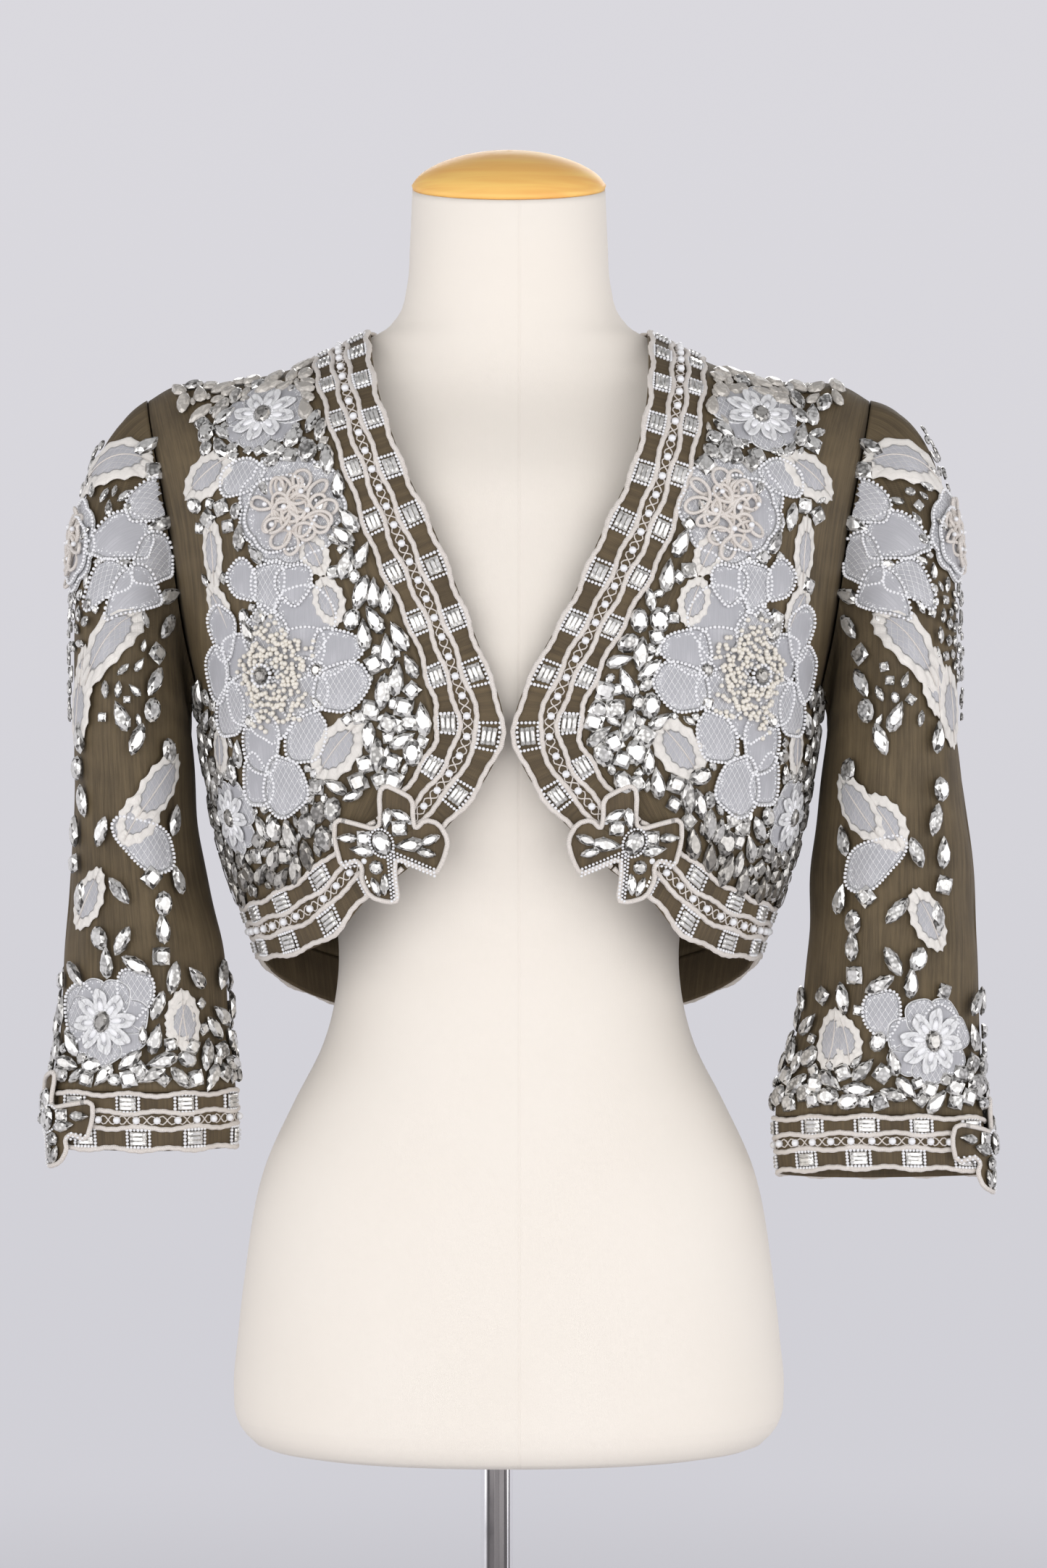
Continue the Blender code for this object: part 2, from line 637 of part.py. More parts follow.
def tube_point(sleeve, turn, height):
    """A sleeve below the armpit: an ellipse at each height, tipped a little near the cuff."""
    rings = sleeve["rings"]
    out, wide, deep, middle = [smooth(height, rings["height"], rings[name]) for name in
                               ("out", "half_width", "half_depth", "middle_y")]
    swell = fold_depth(turn) * np.clip((BICEP_HEIGHT - height) / 0.06, 0, 1)
    rearward = -(deep + swell) * np.sin(turn)
    share = np.clip((BICEP_HEIGHT - height) / (BICEP_HEIGHT - sleeve["cuff_top"]), 0, None)
    rise = height - sleeve["tilt"] * share ** 2 * rearward
    return np.stack([out + (wide + swell) * np.cos(turn), middle + rearward, rise], axis=-1)


def fold_depth(turn):
    """How far a sleeve's soft folds stand in or out, at a turn round it."""
    degrees = np.degrees(np.mod(turn, 2 * math.pi))[..., None]
    offset = (degrees - SLEEVE_FOLDS["turn"]) / SLEEVE_FOLDS["width"]
    return (SLEEVE_FOLDS["depth"] * np.exp(-offset ** 2)).sum(axis=-1)


def sleeve_point(sleeve, turn, down):
    """A sleeve's surface, for the wearer's left: the cap for down below 1, the tube beyond.

    The cap is a cubic curve at each turn, from the armhole to the first ring of the tube.
    It leaves the armhole outwards over the shoulder and straight down under the arm.
    """
    turn, down = np.broadcast_arrays(turn, down)
    drop = BICEP_HEIGHT - sleeve["cuff_top"]
    tube = tube_point(sleeve, turn, BICEP_HEIGHT - np.clip(down - 1, 0, None) * drop)
    start = armhole_loop(turn)
    end = tube_point(sleeve, turn, BICEP_HEIGHT + 0 * turn)
    reach = np.linalg.norm(end - start, axis=-1, keepdims=True)
    over = np.cos(turn / 2) ** 2
    out_x, out_z = sleeve["start"]
    heading = np.stack([over * out_x + (1 - over) * ARMPIT_OUT,
                        -CAP_FORWARD * np.sin(turn) * np.sqrt(over),
                        over * out_z - (1 - over)], axis=-1)
    first = start + heading * reach * CAP_LEAVE
    second = end + np.array([0, 0, 1]) * reach * CAP_ARRIVE
    s = np.clip(down, 0, 1)[..., None]
    cap = ((1 - s) ** 3 * start + 3 * (1 - s) ** 2 * s * first
           + 3 * (1 - s) * s * s * second + s ** 3 * end)
    return np.where((down > 1)[..., None], tube, cap)


def make_sleeve(side, sleeve):
    """A sleeve as an open tube with a Solidify wall inside it."""
    count = 2 * ARMHOLE_ROWS
    turn = np.arange(count) * 2 * math.pi / count
    cap = np.linspace(0, 1, CAP_ROWS + 1) ** 1.15
    tube = np.linspace(1, 2 - CUFF_GAP, TUBE_ROWS + 1)[1:]
    down = np.concatenate([cap, tube])
    points = sleeve_point(sleeve, turn[None, :], down[:, None]) * (sleeve["sign"], 1, 1)
    index = np.arange(points.shape[0] * count).reshape(-1, count)
    around = np.roll(index, -1, axis=1)
    faces = np.stack([index[:-1], index[1:], around[1:], around[:-1]], -1).reshape(-1, 4)
    if sleeve["sign"] > 0:
        faces = faces[:, ::-1]
    mesh = bpy.data.meshes.new("sleeve_" + side)
    mesh.from_pydata(points.reshape(-1, 3).tolist(), [], faces.tolist())
    item = place(bpy.data.objects.new("sleeve_" + side, mesh), "sleeve_" + side, "silk")
    lining = item.modifiers.new("wall", "SOLIDIFY")
    lining.thickness = CLOTH_WALL
    lining.offset = -1
    return item


def cuff_share(sleeve):
    """Where a cuff ends, as a place down the sleeve."""
    return 1 + (BICEP_HEIGHT - sleeve["cuff_bottom"]) / (BICEP_HEIGHT - sleeve["cuff_top"])


def make_cuff(side, sleeve):
    """A cuff band round the sleeve's end, open at a slit on its outer side."""
    slit = math.radians(sleeve["bow_turn"])
    margin = CUFF_SLIT / sleeve["rings"]["half_depth"][0]
    turn = np.linspace(slit + margin, slit + 2 * math.pi - margin, 2 * ARMHOLE_ROWS + 1)
    free = np.stack([turn, np.full(len(turn), cuff_share(sleeve))], axis=-1)
    sewn = np.stack([turn, np.full(len(turn), 2 + CUFF_GAP)], axis=-1)

    def surface(u, v):
        """The sleeve's surface at a turn and a place down it."""
        return sleeve_point(sleeve, u, v)

    rings = band_rings(free, sewn, surface, lambda u, v: normals(surface, u, v, 1))
    return loft("cuff_band_" + side, rings * (sleeve["sign"], 1, 1), "band_silk")


def placed(surface, u, v, across, up):
    """Turn sizes in metres about a surface point into that surface's own two numbers."""
    at_u, at_v = np.array([float(u)]), np.array([float(v)])
    along_u, along_v = [part[0] for part in partials(surface, at_u, at_v)]
    side = along_u / np.linalg.norm(along_u)
    rise = along_v - along_v.dot(side) * side
    rise /= np.linalg.norm(rise)
    if rise[2] < 0:
        rise = -rise
    frame = np.array([[along_u.dot(side), along_v.dot(side)], [along_u.dot(rise), along_v.dot(rise)]])
    change = np.linalg.solve(frame, np.stack([across, up]))
    return u + change[0], v + change[1]


def plate(name, surface, at_normal, at, outline, heights, lift, sign, material):
    """A raised trim lying on a surface: its underside is the surface's own points, moved out.

    outline holds metres across and up from the middle; heights are the top's at the rim,
    half way in and at the middle.
    """
    shares = (1.0, HALF_WAY_IN)
    rings = [outline * share for share in shares] + [outline[:, :1] * 0]
    flat = np.concatenate(rings, axis=1)
    u, v = placed(surface, at[0], at[1], flat[0], flat[1])
    points = surface(u, v)
    facing = at_normal(u, v)
    count = outline.shape[1]
    top = lift + np.concatenate([np.full(count, heights[0]), np.full(count, heights[1]), heights[2:]])
    both = np.concatenate([points + facing * top[:, None], points + facing * lift])
    rim = np.arange(count)
    after = np.roll(rim, -1)
    lower = 2 * count + 1
    faces = []
    for base in (0, lower):
        faces += np.stack([rim, after, after + count, rim + count], -1).__add__(base).tolist()
        faces += (np.stack([rim + count, after + count, np.full(count, 2 * count)], -1) + base).tolist()
    half = len(faces) // 2
    faces[half:] = [face[::-1] for face in faces[half:]]
    faces += np.stack([after, rim, rim + lower, after + lower], -1).tolist()
    return solid(name, both * (sign, 1, 1), faces, material)


def flower_heights(tall):
    """A flower's heights at its rim, half way in and at the middle."""
    return FLOWER_RIM, tall * FLOWER_SHOULDER, tall


def blossom_outline(reach, petals=8):
    """A round of petals: the rim swings between a petal's tip and the notch beside it."""
    angle = np.arange(2 * petals) * math.pi / petals
    radius = reach * np.where(np.arange(2 * petals) % 2, NOTCH_SHARE, 1.0)
    return np.stack([radius * np.cos(angle), radius * np.sin(angle)])


def leaf_outline(length, width, heading):
    """A pointed leaf: two bows that meet at its ends, turned to its heading."""
    part = np.linspace(0, 1, 5)
    along = np.concatenate([part, part[-2:0:-1]]) * length - length / 2
    bow = np.concatenate([np.sin(math.pi * part), -np.sin(math.pi * part[-2:0:-1])]) * width / 2
    angle = math.radians(heading)
    return np.stack([along * math.cos(angle) - bow * math.sin(angle),
                     along * math.sin(angle) + bow * math.cos(angle)])


def bow_outline(reach):
    """A bow of four broad lobes, up, down and to both sides, with a notch between them."""
    angle = np.arange(24) * math.pi / 12
    radius = reach * (BOW_WAIST + BOW_SWING * np.cos(4 * angle))
    return np.stack([radius * np.cos(angle), radius * np.sin(angle)])


def make_body_trims():
    """Blossoms, roses, leaves and bows on the fronts, and a plainer set on the back."""

    def front(u, v):
        """The front's surface."""
        return body_point(u, v, -1)

    def back(u, v):
        """The back's surface."""
        return body_point(u, v, 1)

    def front_normal(u, v):
        """Unit normals of the front."""
        return body_normal(u, v, -1)

    def back_normal(u, v):
        """Unit normals of the back."""
        return body_normal(u, v, 1)

    for side, sign in (("left", 1), ("right", -1)):
        for name, (out, height, reach, tall) in FLOWERS.items():
            out += LEFT_TRIM_OUT if side == "left" else 0
            at = (turn_at(out, height), height)
            plate(f"{name}_{side}", front, front_normal, at, blossom_outline(reach),
                  flower_heights(tall), PLATE_LIFT, sign, TRIM_FINISH.get(name, "organza"))
        for name, (out, height, length, width, heading) in LEAVES.items():
            at = (turn_at(out, height), height)
            plate(f"{name}_{side}", front, front_normal, at, leaf_outline(length, width, heading),
                  LEAF_HEIGHTS, PLATE_LIFT, sign, "organza")
        at = (turn_at(*BOW_CENTRE), BOW_CENTRE[1])
        plate(f"bow_{side}", front, front_normal, at, bow_outline(BOW_REACH),
              BOW_HEIGHTS, BOW_LIFT, sign, "crystal")
    for name, (out, height, reach, tall) in BACK_FLOWERS.items():
        at = (turn_at(out, height), height)
        plate(name, back, back_normal, at, blossom_outline(reach),
              flower_heights(tall), PLATE_LIFT, 1, TRIM_FINISH.get(name, "organza"))
    for name, (out, height, length, width, heading) in BACK_LEAVES.items():
        at = (turn_at(out, height), height)
        plate(name, back, back_normal, at, leaf_outline(length, width, heading),
              LEAF_HEIGHTS, PLATE_LIFT, 1, "organza")


def make_sleeve_trims(side, sleeve):
    """Blossoms, leaves and the cuff's bow on one sleeve."""

    def surface(u, v):
        """The sleeve's surface at a turn and a place down it."""
        return sleeve_point(sleeve, u, v)

    def facing(u, v):
        """Unit normals of the sleeve."""
        return normals(surface, u, v, 1)

    for name, (turn, down, reach, tall) in SLEEVE_FLOWERS.items():
        plate(f"sleeve_{name}_{side}", surface, facing, (math.radians(turn), down),
              blossom_outline(reach), flower_heights(tall), SLEEVE_PLATE_LIFT,
              sleeve["sign"], TRIM_FINISH.get(name, "organza"))
    for name, (turn, down, length, width, heading) in SLEEVE_LEAVES.items():
        plate(f"sleeve_{name}_{side}", surface, facing, (math.radians(turn), down),
              leaf_outline(length, width, heading), LEAF_HEIGHTS, SLEEVE_PLATE_LIFT,
              sleeve["sign"], "organza")
    middle = (2 + cuff_share(sleeve)) / 2
    plate(f"cuff_bow_{side}", surface, facing, (math.radians(sleeve["bow_turn"]), middle),
          bow_outline(CUFF_BOW_REACH), CUFF_BOW_HEIGHTS, CUFF_BOW_LIFT, sleeve["sign"],
          "crystal")


def form_section(height):
    """Half width, front depth, back depth and widest y of the form at a height, and its rows.

    Under the jacket's shoulder its width is where the shoulder line, less the cloth and a
    slight clearance, reaches that height, so the bands rest on it there.
    """
    rows = {name: np.concatenate([FORM[name], NECK[name]]) for name in FORM}
    out = np.linspace(BAND_OUT + 3 * SHOULDER_REST, NECK_OUT + SHOULDER_REST, 5)
    line = shoulder_height(out) - FORM_CLEARANCE
    heights = np.concatenate([rows["height"], line])
    order = np.argsort(heights)
    columns = [np.concatenate([rows["half_width"], out])[order]]
    for name in ("front", "back", "middle_y"):
        between = np.interp(line, rows["height"], rows[name])
        columns.append(np.concatenate([rows[name], between])[order])
    return [smooth(height, heights[order], column) for column in columns], heights[order]


def make_form():
    """The torso: a loft of rounded rings with a flat bottom and a tilted top for the cap."""
    _, heights = form_section(np.array([FORM_BOTTOM]))
    (wide, front, back, middle), _ = form_section(heights)
    angle = np.arange(FORM_SIDES) * 2 * math.pi / FORM_SIDES
    power = 2 / FORM_SQUARENESS
    across = np.sign(np.cos(angle)) * np.abs(np.cos(angle)) ** power
    deep = np.sign(np.sin(angle)) * np.abs(np.sin(angle)) ** power
    half_depth = np.where(deep < 0, (front + middle)[:, None], (back - middle)[:, None])
    y = middle[:, None] + half_depth * deep
    tilt = NECK_TILT * np.clip((heights - NECK_TILT_START) / (NECK_TOP - NECK_TILT_START), 0, 1) ** 2
    z = heights[:, None] + tilt[:, None] * y
    rings = np.stack([wide[:, None] * across, y, z], axis=-1)
    return loft("form", rings, "canvas")


def make_cap():
    """The wooden neck cap: a turned dome, a little narrower front to back, tipped forwards."""
    mesh = bpy.data.meshes.new("neck_cap")
    points = np.stack([CAP_PROFILE["out"], 0 * CAP_PROFILE["out"], CAP_PROFILE["height"]], axis=-1)
    steps = [(index, index + 1) for index in range(len(points) - 1)]
    mesh.from_pydata(points.tolist(), steps, [])
    item = place(bpy.data.objects.new("neck_cap", mesh), "neck_cap", "wood")
    turning = item.modifiers.new("turned", "SCREW")
    turning.steps = FORM_SIDES
    turning.render_steps = FORM_SIDES
    turning.use_merge_vertices = True
    turning.merge_threshold = 0.0001
    turning.use_smooth_shade = True
    item.scale = (1.0, CAP_DEPTH_SCALE, 1.0)
    item.rotation_euler = (math.atan(NECK_TILT), 0, 0)
    item.location = (0, CAP_CENTRE_Y, NECK_TOP + NECK_TILT * CAP_CENTRE_Y + SEAT_GAP)
    return item


def make_stand():
    """The chrome pole and the round foot it stands on."""
    length = FORM_BOTTOM - SEAT_GAP - BASE_HEIGHT - SEAT_GAP
    middle = BASE_HEIGHT + SEAT_GAP + length / 2
    bpy.ops.mesh.primitive_cylinder_add(vertices=24, radius=POLE_RADIUS, depth=length,
                                        location=(STAND_OUT, 0, middle))
    pole = place(bpy.context.object, "stand_pole", "chrome")
    bpy.ops.mesh.primitive_cylinder_add(vertices=40, radius=BASE_RADIUS, depth=BASE_HEIGHT,
                                        location=(STAND_OUT, 0, BASE_HEIGHT / 2))
    base = place(bpy.context.object, "stand_base", "chrome")
    edge = base.modifiers.new("edge", "BEVEL")
    edge.width = BASE_EDGE
    edge.segments = 1
    for item in (pole, base):
        item.data.shade_smooth()
        item.data.set_sharp_from_angle(angle=math.radians(40))


def main():
    """Build every piece."""
    clear_scene()
    group = bpy.data.collections.new("bolero_jacket_on_dress_form")
    bpy.context.scene.collection.children.link(group)
    for side, sign in (("left", 1), ("right", -1)):
        make_front(side, sign)
        make_sleeve(side, SLEEVES[side])
        make_cuff(side, SLEEVES[side])
        make_sleeve_trims(side, SLEEVES[side])
    make_back()
    make_bands()
    make_body_trims()
    make_form()
    make_cap()
    make_stand()


main()
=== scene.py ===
"""Bolero jacket on a dress form: its looks, laid out as an add-on that also runs as a script.

Metres, +Z up, the wearer's left at +X and the front at -Y. Every cloth surface is a function
of two numbers, made on fine grids; the trims are small shapes laid on those surfaces.
"""
import math

import bpy
import numpy as np
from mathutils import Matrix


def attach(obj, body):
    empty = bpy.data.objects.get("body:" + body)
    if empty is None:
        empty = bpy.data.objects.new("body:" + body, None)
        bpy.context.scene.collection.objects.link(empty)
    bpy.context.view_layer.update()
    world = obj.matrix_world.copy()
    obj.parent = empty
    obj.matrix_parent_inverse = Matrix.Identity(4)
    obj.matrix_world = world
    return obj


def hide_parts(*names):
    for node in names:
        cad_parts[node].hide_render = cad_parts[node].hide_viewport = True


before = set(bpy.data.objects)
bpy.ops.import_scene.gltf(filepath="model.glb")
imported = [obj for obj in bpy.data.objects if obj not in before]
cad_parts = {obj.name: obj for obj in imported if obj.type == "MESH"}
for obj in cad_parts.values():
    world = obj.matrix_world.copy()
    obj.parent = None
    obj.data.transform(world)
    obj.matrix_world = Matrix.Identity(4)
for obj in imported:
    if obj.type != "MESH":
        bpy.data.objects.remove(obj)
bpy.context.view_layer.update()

bl_info = {
    "name": "Beaded bolero jacket",
    "version": (1, 0, 0),
    "blender": (4, 5, 0),
    "location": "View3D > Sidebar > Jacket",
    "description": "Builds the looks of a beaded bolero jacket standing on a dress form",
    "category": "Object",
}


def table(columns, *rows):
    """A short table: each named column becomes an array with one value for each row."""
    values = np.array(rows, dtype=float)
    return {name: values[:, index] for index, name in enumerate(columns.split())}


# Driving sizes of the cloth
CLOTH_WALL = 0.0015
BAND_WALL = 0.0018
ARMHOLE_EASE = 0.001
CUFF_BOW_LIFT = 0.0034
BOW_LIFT = 0.0028
SQUARENESS = 2.4
SIDE_SEAM_Y = 0.005
RIDGE_NECK_Y = 0.012
SHOULDER_ROLL = 0.085
NECK_OUT = 0.0853
BAND_OUT = 0.1193
SHOULDER_OUT = 0.2213
UNDERARM_HEIGHT = 0.982
HEM_HEIGHT = 0.822
HEM_BAND_TOP = 0.8525
BACK_HEM_DIP = 0.048
BICEP_HEIGHT = 0.955

# How a sleeve's cap leaves the armhole and meets the tube, as shares of its reach
CAP_LEAVE = 0.27
CAP_ARRIVE = 0.38
CAP_FORWARD = 0.35
ARMPIT_OUT = 0.15
CUFF_GAP = 0.001

# How a panel's rows share its height, and crowd towards the shoulder
SIDE_SHARE = 0.4
ROW_CROWDING = 1.8

# Driving sizes of the form and the stand
FORM_BOTTOM = 0.52
FORM_SQUARENESS = 2.1
FORM_CLEARANCE = 0.0034
SHOULDER_REST = 0.004
NECK_TOP = 1.292
NECK_TILT = 0.26
NECK_TILT_START = 1.245
CAP_DEPTH_SCALE = 0.93
CAP_CENTRE_Y = 0.005
POLE_RADIUS = 0.01
BASE_RADIUS = 0.15
BASE_HEIGHT = 0.01
BASE_EDGE = 0.002
SEAT_GAP = 0.0003
STAND_OUT = -0.0075

SHOULDER = table(
    "out height",
    (0.0, 1.236), (0.05, 1.224), (0.0862, 1.205), (0.11, 1.1925),
    (0.13, 1.184), (0.168, 1.175), (0.209, 1.1705), (0.2213, 1.163),
)
BODY = table(
    "height half_width front back",
    (0.76, 0.143, 0.115, 0.085),
    (0.79, 0.148, 0.117, 0.088),
    (0.83, 0.155, 0.12, 0.092),
    (0.85, 0.162, 0.121, 0.095),
    (0.88, 0.172, 0.123, 0.098),
    (0.9, 0.1775, 0.1245, 0.101),
    (0.93, 0.183, 0.126, 0.104),
    (0.955, 0.187, 0.127, 0.106),
    (0.98, 0.19, 0.127, 0.108),
    (1.04, 0.204, 0.12, 0.11),
    (1.1, 0.217, 0.108, 0.106),
    (1.15, 0.227, 0.097, 0.098),
    (1.21, 0.235, 0.088, 0.09),
)
# A row for each station down the front edge: the opening edge, then the band's inner line
EDGE = table(
    "edge_out edge_height inner_out inner_height",
    (0.0853, 1.2055, 0.1193, 1.1885),
    (0.0815, 1.181, 0.1155, 1.1705),
    (0.076, 1.1568, 0.1085, 1.148),
    (0.0685, 1.135, 0.101, 1.124),
    (0.0603, 1.1131, 0.0932, 1.1024),
    (0.0512, 1.094, 0.085, 1.0785),
    (0.0416, 1.0729, 0.0765, 1.056),
    (0.0325, 1.05, 0.0668, 1.037),
    (0.0233, 1.0258, 0.0557, 1.0125),
    (0.0135, 1.0, 0.0474, 0.987),
    (0.0045, 0.976, 0.0436, 0.972),
    (0.002, 0.96, 0.0424, 0.962),
    (0.004, 0.9485, 0.0432, 0.9555),
    (0.0098, 0.9365, 0.046, 0.949),
    (0.0192, 0.9212, 0.0505, 0.941),
    (0.0332, 0.9052, 0.059, 0.9285),
    (0.0466, 0.8908, 0.0685, 0.917),
    (0.06, 0.877, 0.078, 0.908),
)
# How much further out the left front's edge hangs, by its share of the way down
LEFT_OPENING = table(
    "share further",
    (0.0, 0.0), (0.15, 0.007), (0.3, 0.012), (0.45, 0.012), (0.6, 0.009),
    (0.72, 0.003), (0.8, 0.0), (1.0, 0.0),
)
# A row for each station from the front corner to the side seam: hem, then the band's top
HEM = table(
    "hem_out hem_height top_out top_height",
    (0.06, 0.877, 0.078, 0.908),
    (0.0859, 0.8573, 0.102, 0.889),
    (0.1015, 0.8388, 0.1175, 0.8765),
    (0.1162, 0.8303, 0.131, 0.8675),
    (0.1355, 0.8238, 0.146, 0.86),
)
ARMHOLE = table(
    "out height",
    (0.2213, 1.163), (0.2145, 1.13), (0.2075, 1.095),
    (0.201, 1.05), (0.1955, 1.01), (0.19, 0.982),
)
BACK_NECK = table(
    "out edge_height band_height",
    (0.0, 1.196, 1.158),
    (0.04, 1.1985, 1.161),
    (0.08, 1.204, 1.172),
    (0.105, 1.205, 1.1835),
    (0.1193, 1.2055, 1.1885),
)
# A row for each ring of a sleeve below the armpit
SLEEVES = {
    "right": {
        "sign": -1, "cuff_top": 0.742, "cuff_bottom": 0.7064, "tilt": 0.0,
        "start": (0.92, -0.38), "bow_turn": 20, "rings": table(
            "height out half_width half_depth middle_y",
            (0.69, 0.2212, 0.0548, 0.032, -0.014),
            (0.7, 0.2215, 0.055, 0.032, -0.014),
            (0.735, 0.2225, 0.0565, 0.034, -0.012),
            (0.78, 0.222, 0.052, 0.04, -0.009),
            (0.83, 0.223, 0.049, 0.047, -0.006),
            (0.88, 0.227, 0.0415, 0.054, -0.003),
            (0.955, 0.23, 0.0375, 0.062, 0.0)),
    },
    "left": {
        "sign": 1, "cuff_top": 0.7243, "cuff_bottom": 0.69, "tilt": 0.125,
        "start": (1.05, -0.08), "bow_turn": 6, "rings": table(
            "height out half_width half_depth middle_y",
            (0.67, 0.228, 0.063, 0.032, -0.014),
            (0.68, 0.228, 0.063, 0.032, -0.014),
            (0.735, 0.226, 0.063, 0.034, -0.012),
            (0.78, 0.232, 0.056, 0.04, -0.009),
            (0.83, 0.2345, 0.0525, 0.047, -0.006),
            (0.88, 0.2345, 0.0505, 0.054, -0.003),
            (0.955, 0.2345, 0.0415, 0.062, 0.0)),
    },
}
# Soft folds of a sleeve: where round it (degrees from the outer side), how wide, how deep
SLEEVE_FOLDS = table(
    "turn width depth",
    (62, 26, -0.003), (104, 28, 0.0025), (144, 28, -0.0035), (250, 30, 0.003),
    (300, 28, -0.003),
)
FORM = table(
    "height half_width front back middle_y",
    (0.52, 0.135, 0.08, 0.088, 0.0),
    (0.5225, 0.148, 0.09, 0.099, 0.0),
    (0.529, 0.159, 0.097, 0.108, 0.0),
    (0.54, 0.1665, 0.101, 0.113, 0.0),
    (0.5556, 0.1684, 0.102, 0.115, 0.0),
    (0.591, 0.1658, 0.102, 0.115, 0.0),
    (0.627, 0.1618, 0.101, 0.113, 0.0),
    (0.698, 0.1478, 0.096, 0.103, 0.0),
    (0.733, 0.1316, 0.091, 0.093, 0.0),
    (0.769, 0.1136, 0.086, 0.082, 0.0),
    (0.812, 0.1045, 0.083, 0.074, 0.0),
    (0.86, 0.108, 0.088, 0.077, 0.0),
    (0.9, 0.118, 0.098, 0.084, 0.0),
    (0.98, 0.14, 0.115, 0.095, 0.0),
    (1.03, 0.148, 0.107, 0.098, 0.002),
    (1.08, 0.16, 0.095, 0.096, 0.005),
    (1.12, 0.168, 0.082, 0.09, 0.008),
    (1.145, 0.164, 0.066, 0.076, 0.01),
    (1.16, 0.154, 0.055, 0.064, 0.01),
    (1.17, 0.143, 0.046, 0.054, 0.01),
)
NECK = table(
    "height half_width front back middle_y",
    (1.2067, 0.0765, 0.04, 0.054, 0.011),
    (1.216, 0.068, 0.044, 0.062, 0.009),
    (1.2333, 0.0627, 0.046, 0.06, 0.006),
    (1.26, 0.0607, 0.05, 0.06, 0.005),
    (1.292, 0.0593, 0.05, 0.06, 0.005),
)
CAP_PROFILE = table(
    "out height",
    (0.0, 0.0236), (0.016, 0.0224), (0.0318, 0.0192), (0.0462, 0.0138),
    (0.0556, 0.0076), (0.0597, 0.0023), (0.059, 0.0), (0.0, 0.0),
)
# Raised trims of a front: middle and reach; a leaf's middle, length, width and degrees from +X
FLOWERS = {
    "blossom_high": (0.146, 1.147, 0.024),
    "rose": (0.13, 1.09, 0.029),
    "bead_flower": (0.14, 0.992, 0.031),
    "blossom_low": (0.164, 0.908, 0.02),
}
LEAVES = {
    "leaf_shoulder": (0.18, 1.112, 0.038, 0.024, -40),
    "leaf_side": (0.176, 1.066, 0.04, 0.014, 85),
    "leaf_middle": (0.172, 1.033, 0.03, 0.015, 60),
    "leaf_waist": (0.1, 0.948, 0.044, 0.024, -50),
    "leaf_low": (0.172, 0.948, 0.03, 0.016, 100),
}
# Raised trims of a sleeve: turn round it in degrees, place down it, then the same sizes
SLEEVE_FLOWERS = {
    "rose": (22, 0.52, 0.028),
    "blossom": (64, 1.8, 0.022),
}
SLEEVE_LEAVES = {
    "leaf_high": (42, 0.92, 0.052, 0.026, 85),
    "leaf_middle": (100, 1.22, 0.04, 0.024, 60),
    "leaf_cuff": (118, 1.8, 0.032, 0.02, 80),
}
BACK_FLOWERS = {
    "back_rose": (0.0, 1.06, 0.032),
    "back_blossom_left": (0.095, 1.09, 0.025),
    "back_blossom_right": (-0.095, 1.09, 0.025),
}
BACK_LEAVES = {
    "back_leaf_left": (0.06, 0.99, 0.056, 0.026, -60),
    "back_leaf_right": (-0.06, 0.99, 0.056, 0.026, -120),
}
BOW_CENTRE = (0.072, 0.893)
BOW_REACH = 0.036
CUFF_BOW_REACH = 0.03
LEFT_TRIM_OUT = 0.004
CUFF_SLIT = 0.002
# What covers a raised trim, where it isn't organza
TRIM_FINISH = {"rose": "cord", "bead_flower": "beads", "back_rose": "cord"}

# Counts of the fine grids
FINE_SIDE_ROWS = 26
FINE_ARMHOLE_ROWS = 44
FINE_COLUMNS = 64
SLEEVE_ROWS = 100
SLEEVE_COLUMNS = 84
BAND_STEP = 0.003
BAND_WIDTH = 0.038
BAND_POINTS = 160
HEADING_STEP = 0.001
# The fine rings of the form and the sides of what is turned
FORM_RINGS = 150
FORM_SIDES = 112
TURNED_SIDES = 96
# The radius of a turned solid's first and last rings
HUB = 0.0004
SHARP_ANGLE = math.radians(35)
# How deep creases are: they only sink in, so that nothing laid on the cloth is buried
CREASE_DEPTH = 0.0006
SLEEVE_CREASE = 0.003
CORD_RADIUS = 0.0016
# How far a band's cords swing out round its framed stones
CORD_SWING = 0.001
LOOP_RADIUS = 0.00115
THREAD_RADIUS = 0.00045
# The ripple of a band's cords, the swing of its crossed threads, and the puff of its silk
CORD_RIPPLE = 0.00022
RIPPLE_PITCH = 0.0067
THREAD_SWING = 0.0028
BAND_PUFF = 0.0005
SEED_RADIUS = 0.00096
SEED_PITCH = 0.00205
# Beads round the rims of organza trims
RIM_BEAD = 0.00118
ROUND_BEAD = 0.0024
# From this radius on, a bead is drawn with more sides
BIG_BEAD = 0.0015
ROUND_PITCH = 0.0122
GEM_PITCH = 0.034
SILK_THREADS = 9000.0
ORGANZA_THREADS = 11000.0
JERSEY_THREADS = 7000.0
# How noise is stretched across and along the cloth, and along the wood's grain
SLUB_STRETCH = (1400, 60, 1)
# The streaks in the silk's colour are partly painted shade of long folds
STREAK_STRETCH = (330, 14, 1)
CRINKLE_STRETCH = (210, 26, 1)
GRAIN_STRETCH = (3.0, 9.0, 60.0)
# Satin stitches and lattice threads: turns of their waves in a metre, and the lattice's slant
SATIN_RIBS = 9500.0
LATTICE_LINES = 850.0
LATTICE_SLANT = 0.62
# The tints between which a stone turns from clear to milky
MILKY_TINTS = (0.93, 1.0)
# The torso's middle seam: half its width, to its edge and to its floor, and its place
SEAM_EDGES = (0.0014, 0.0004)
SEAM_OUT = 0.0065
# How far up and down the torso's depth is evened out at the foot of the neck
SETTLE = 0.023
# Where a band's four cords lie across it, its two rows of stones and its middle beads
CORD_SHARES = (0.035, 0.395, 0.66, 0.965)
STONE_SHARES = (0.215, 0.812)
MIDDLE_SHARE = 0.5275
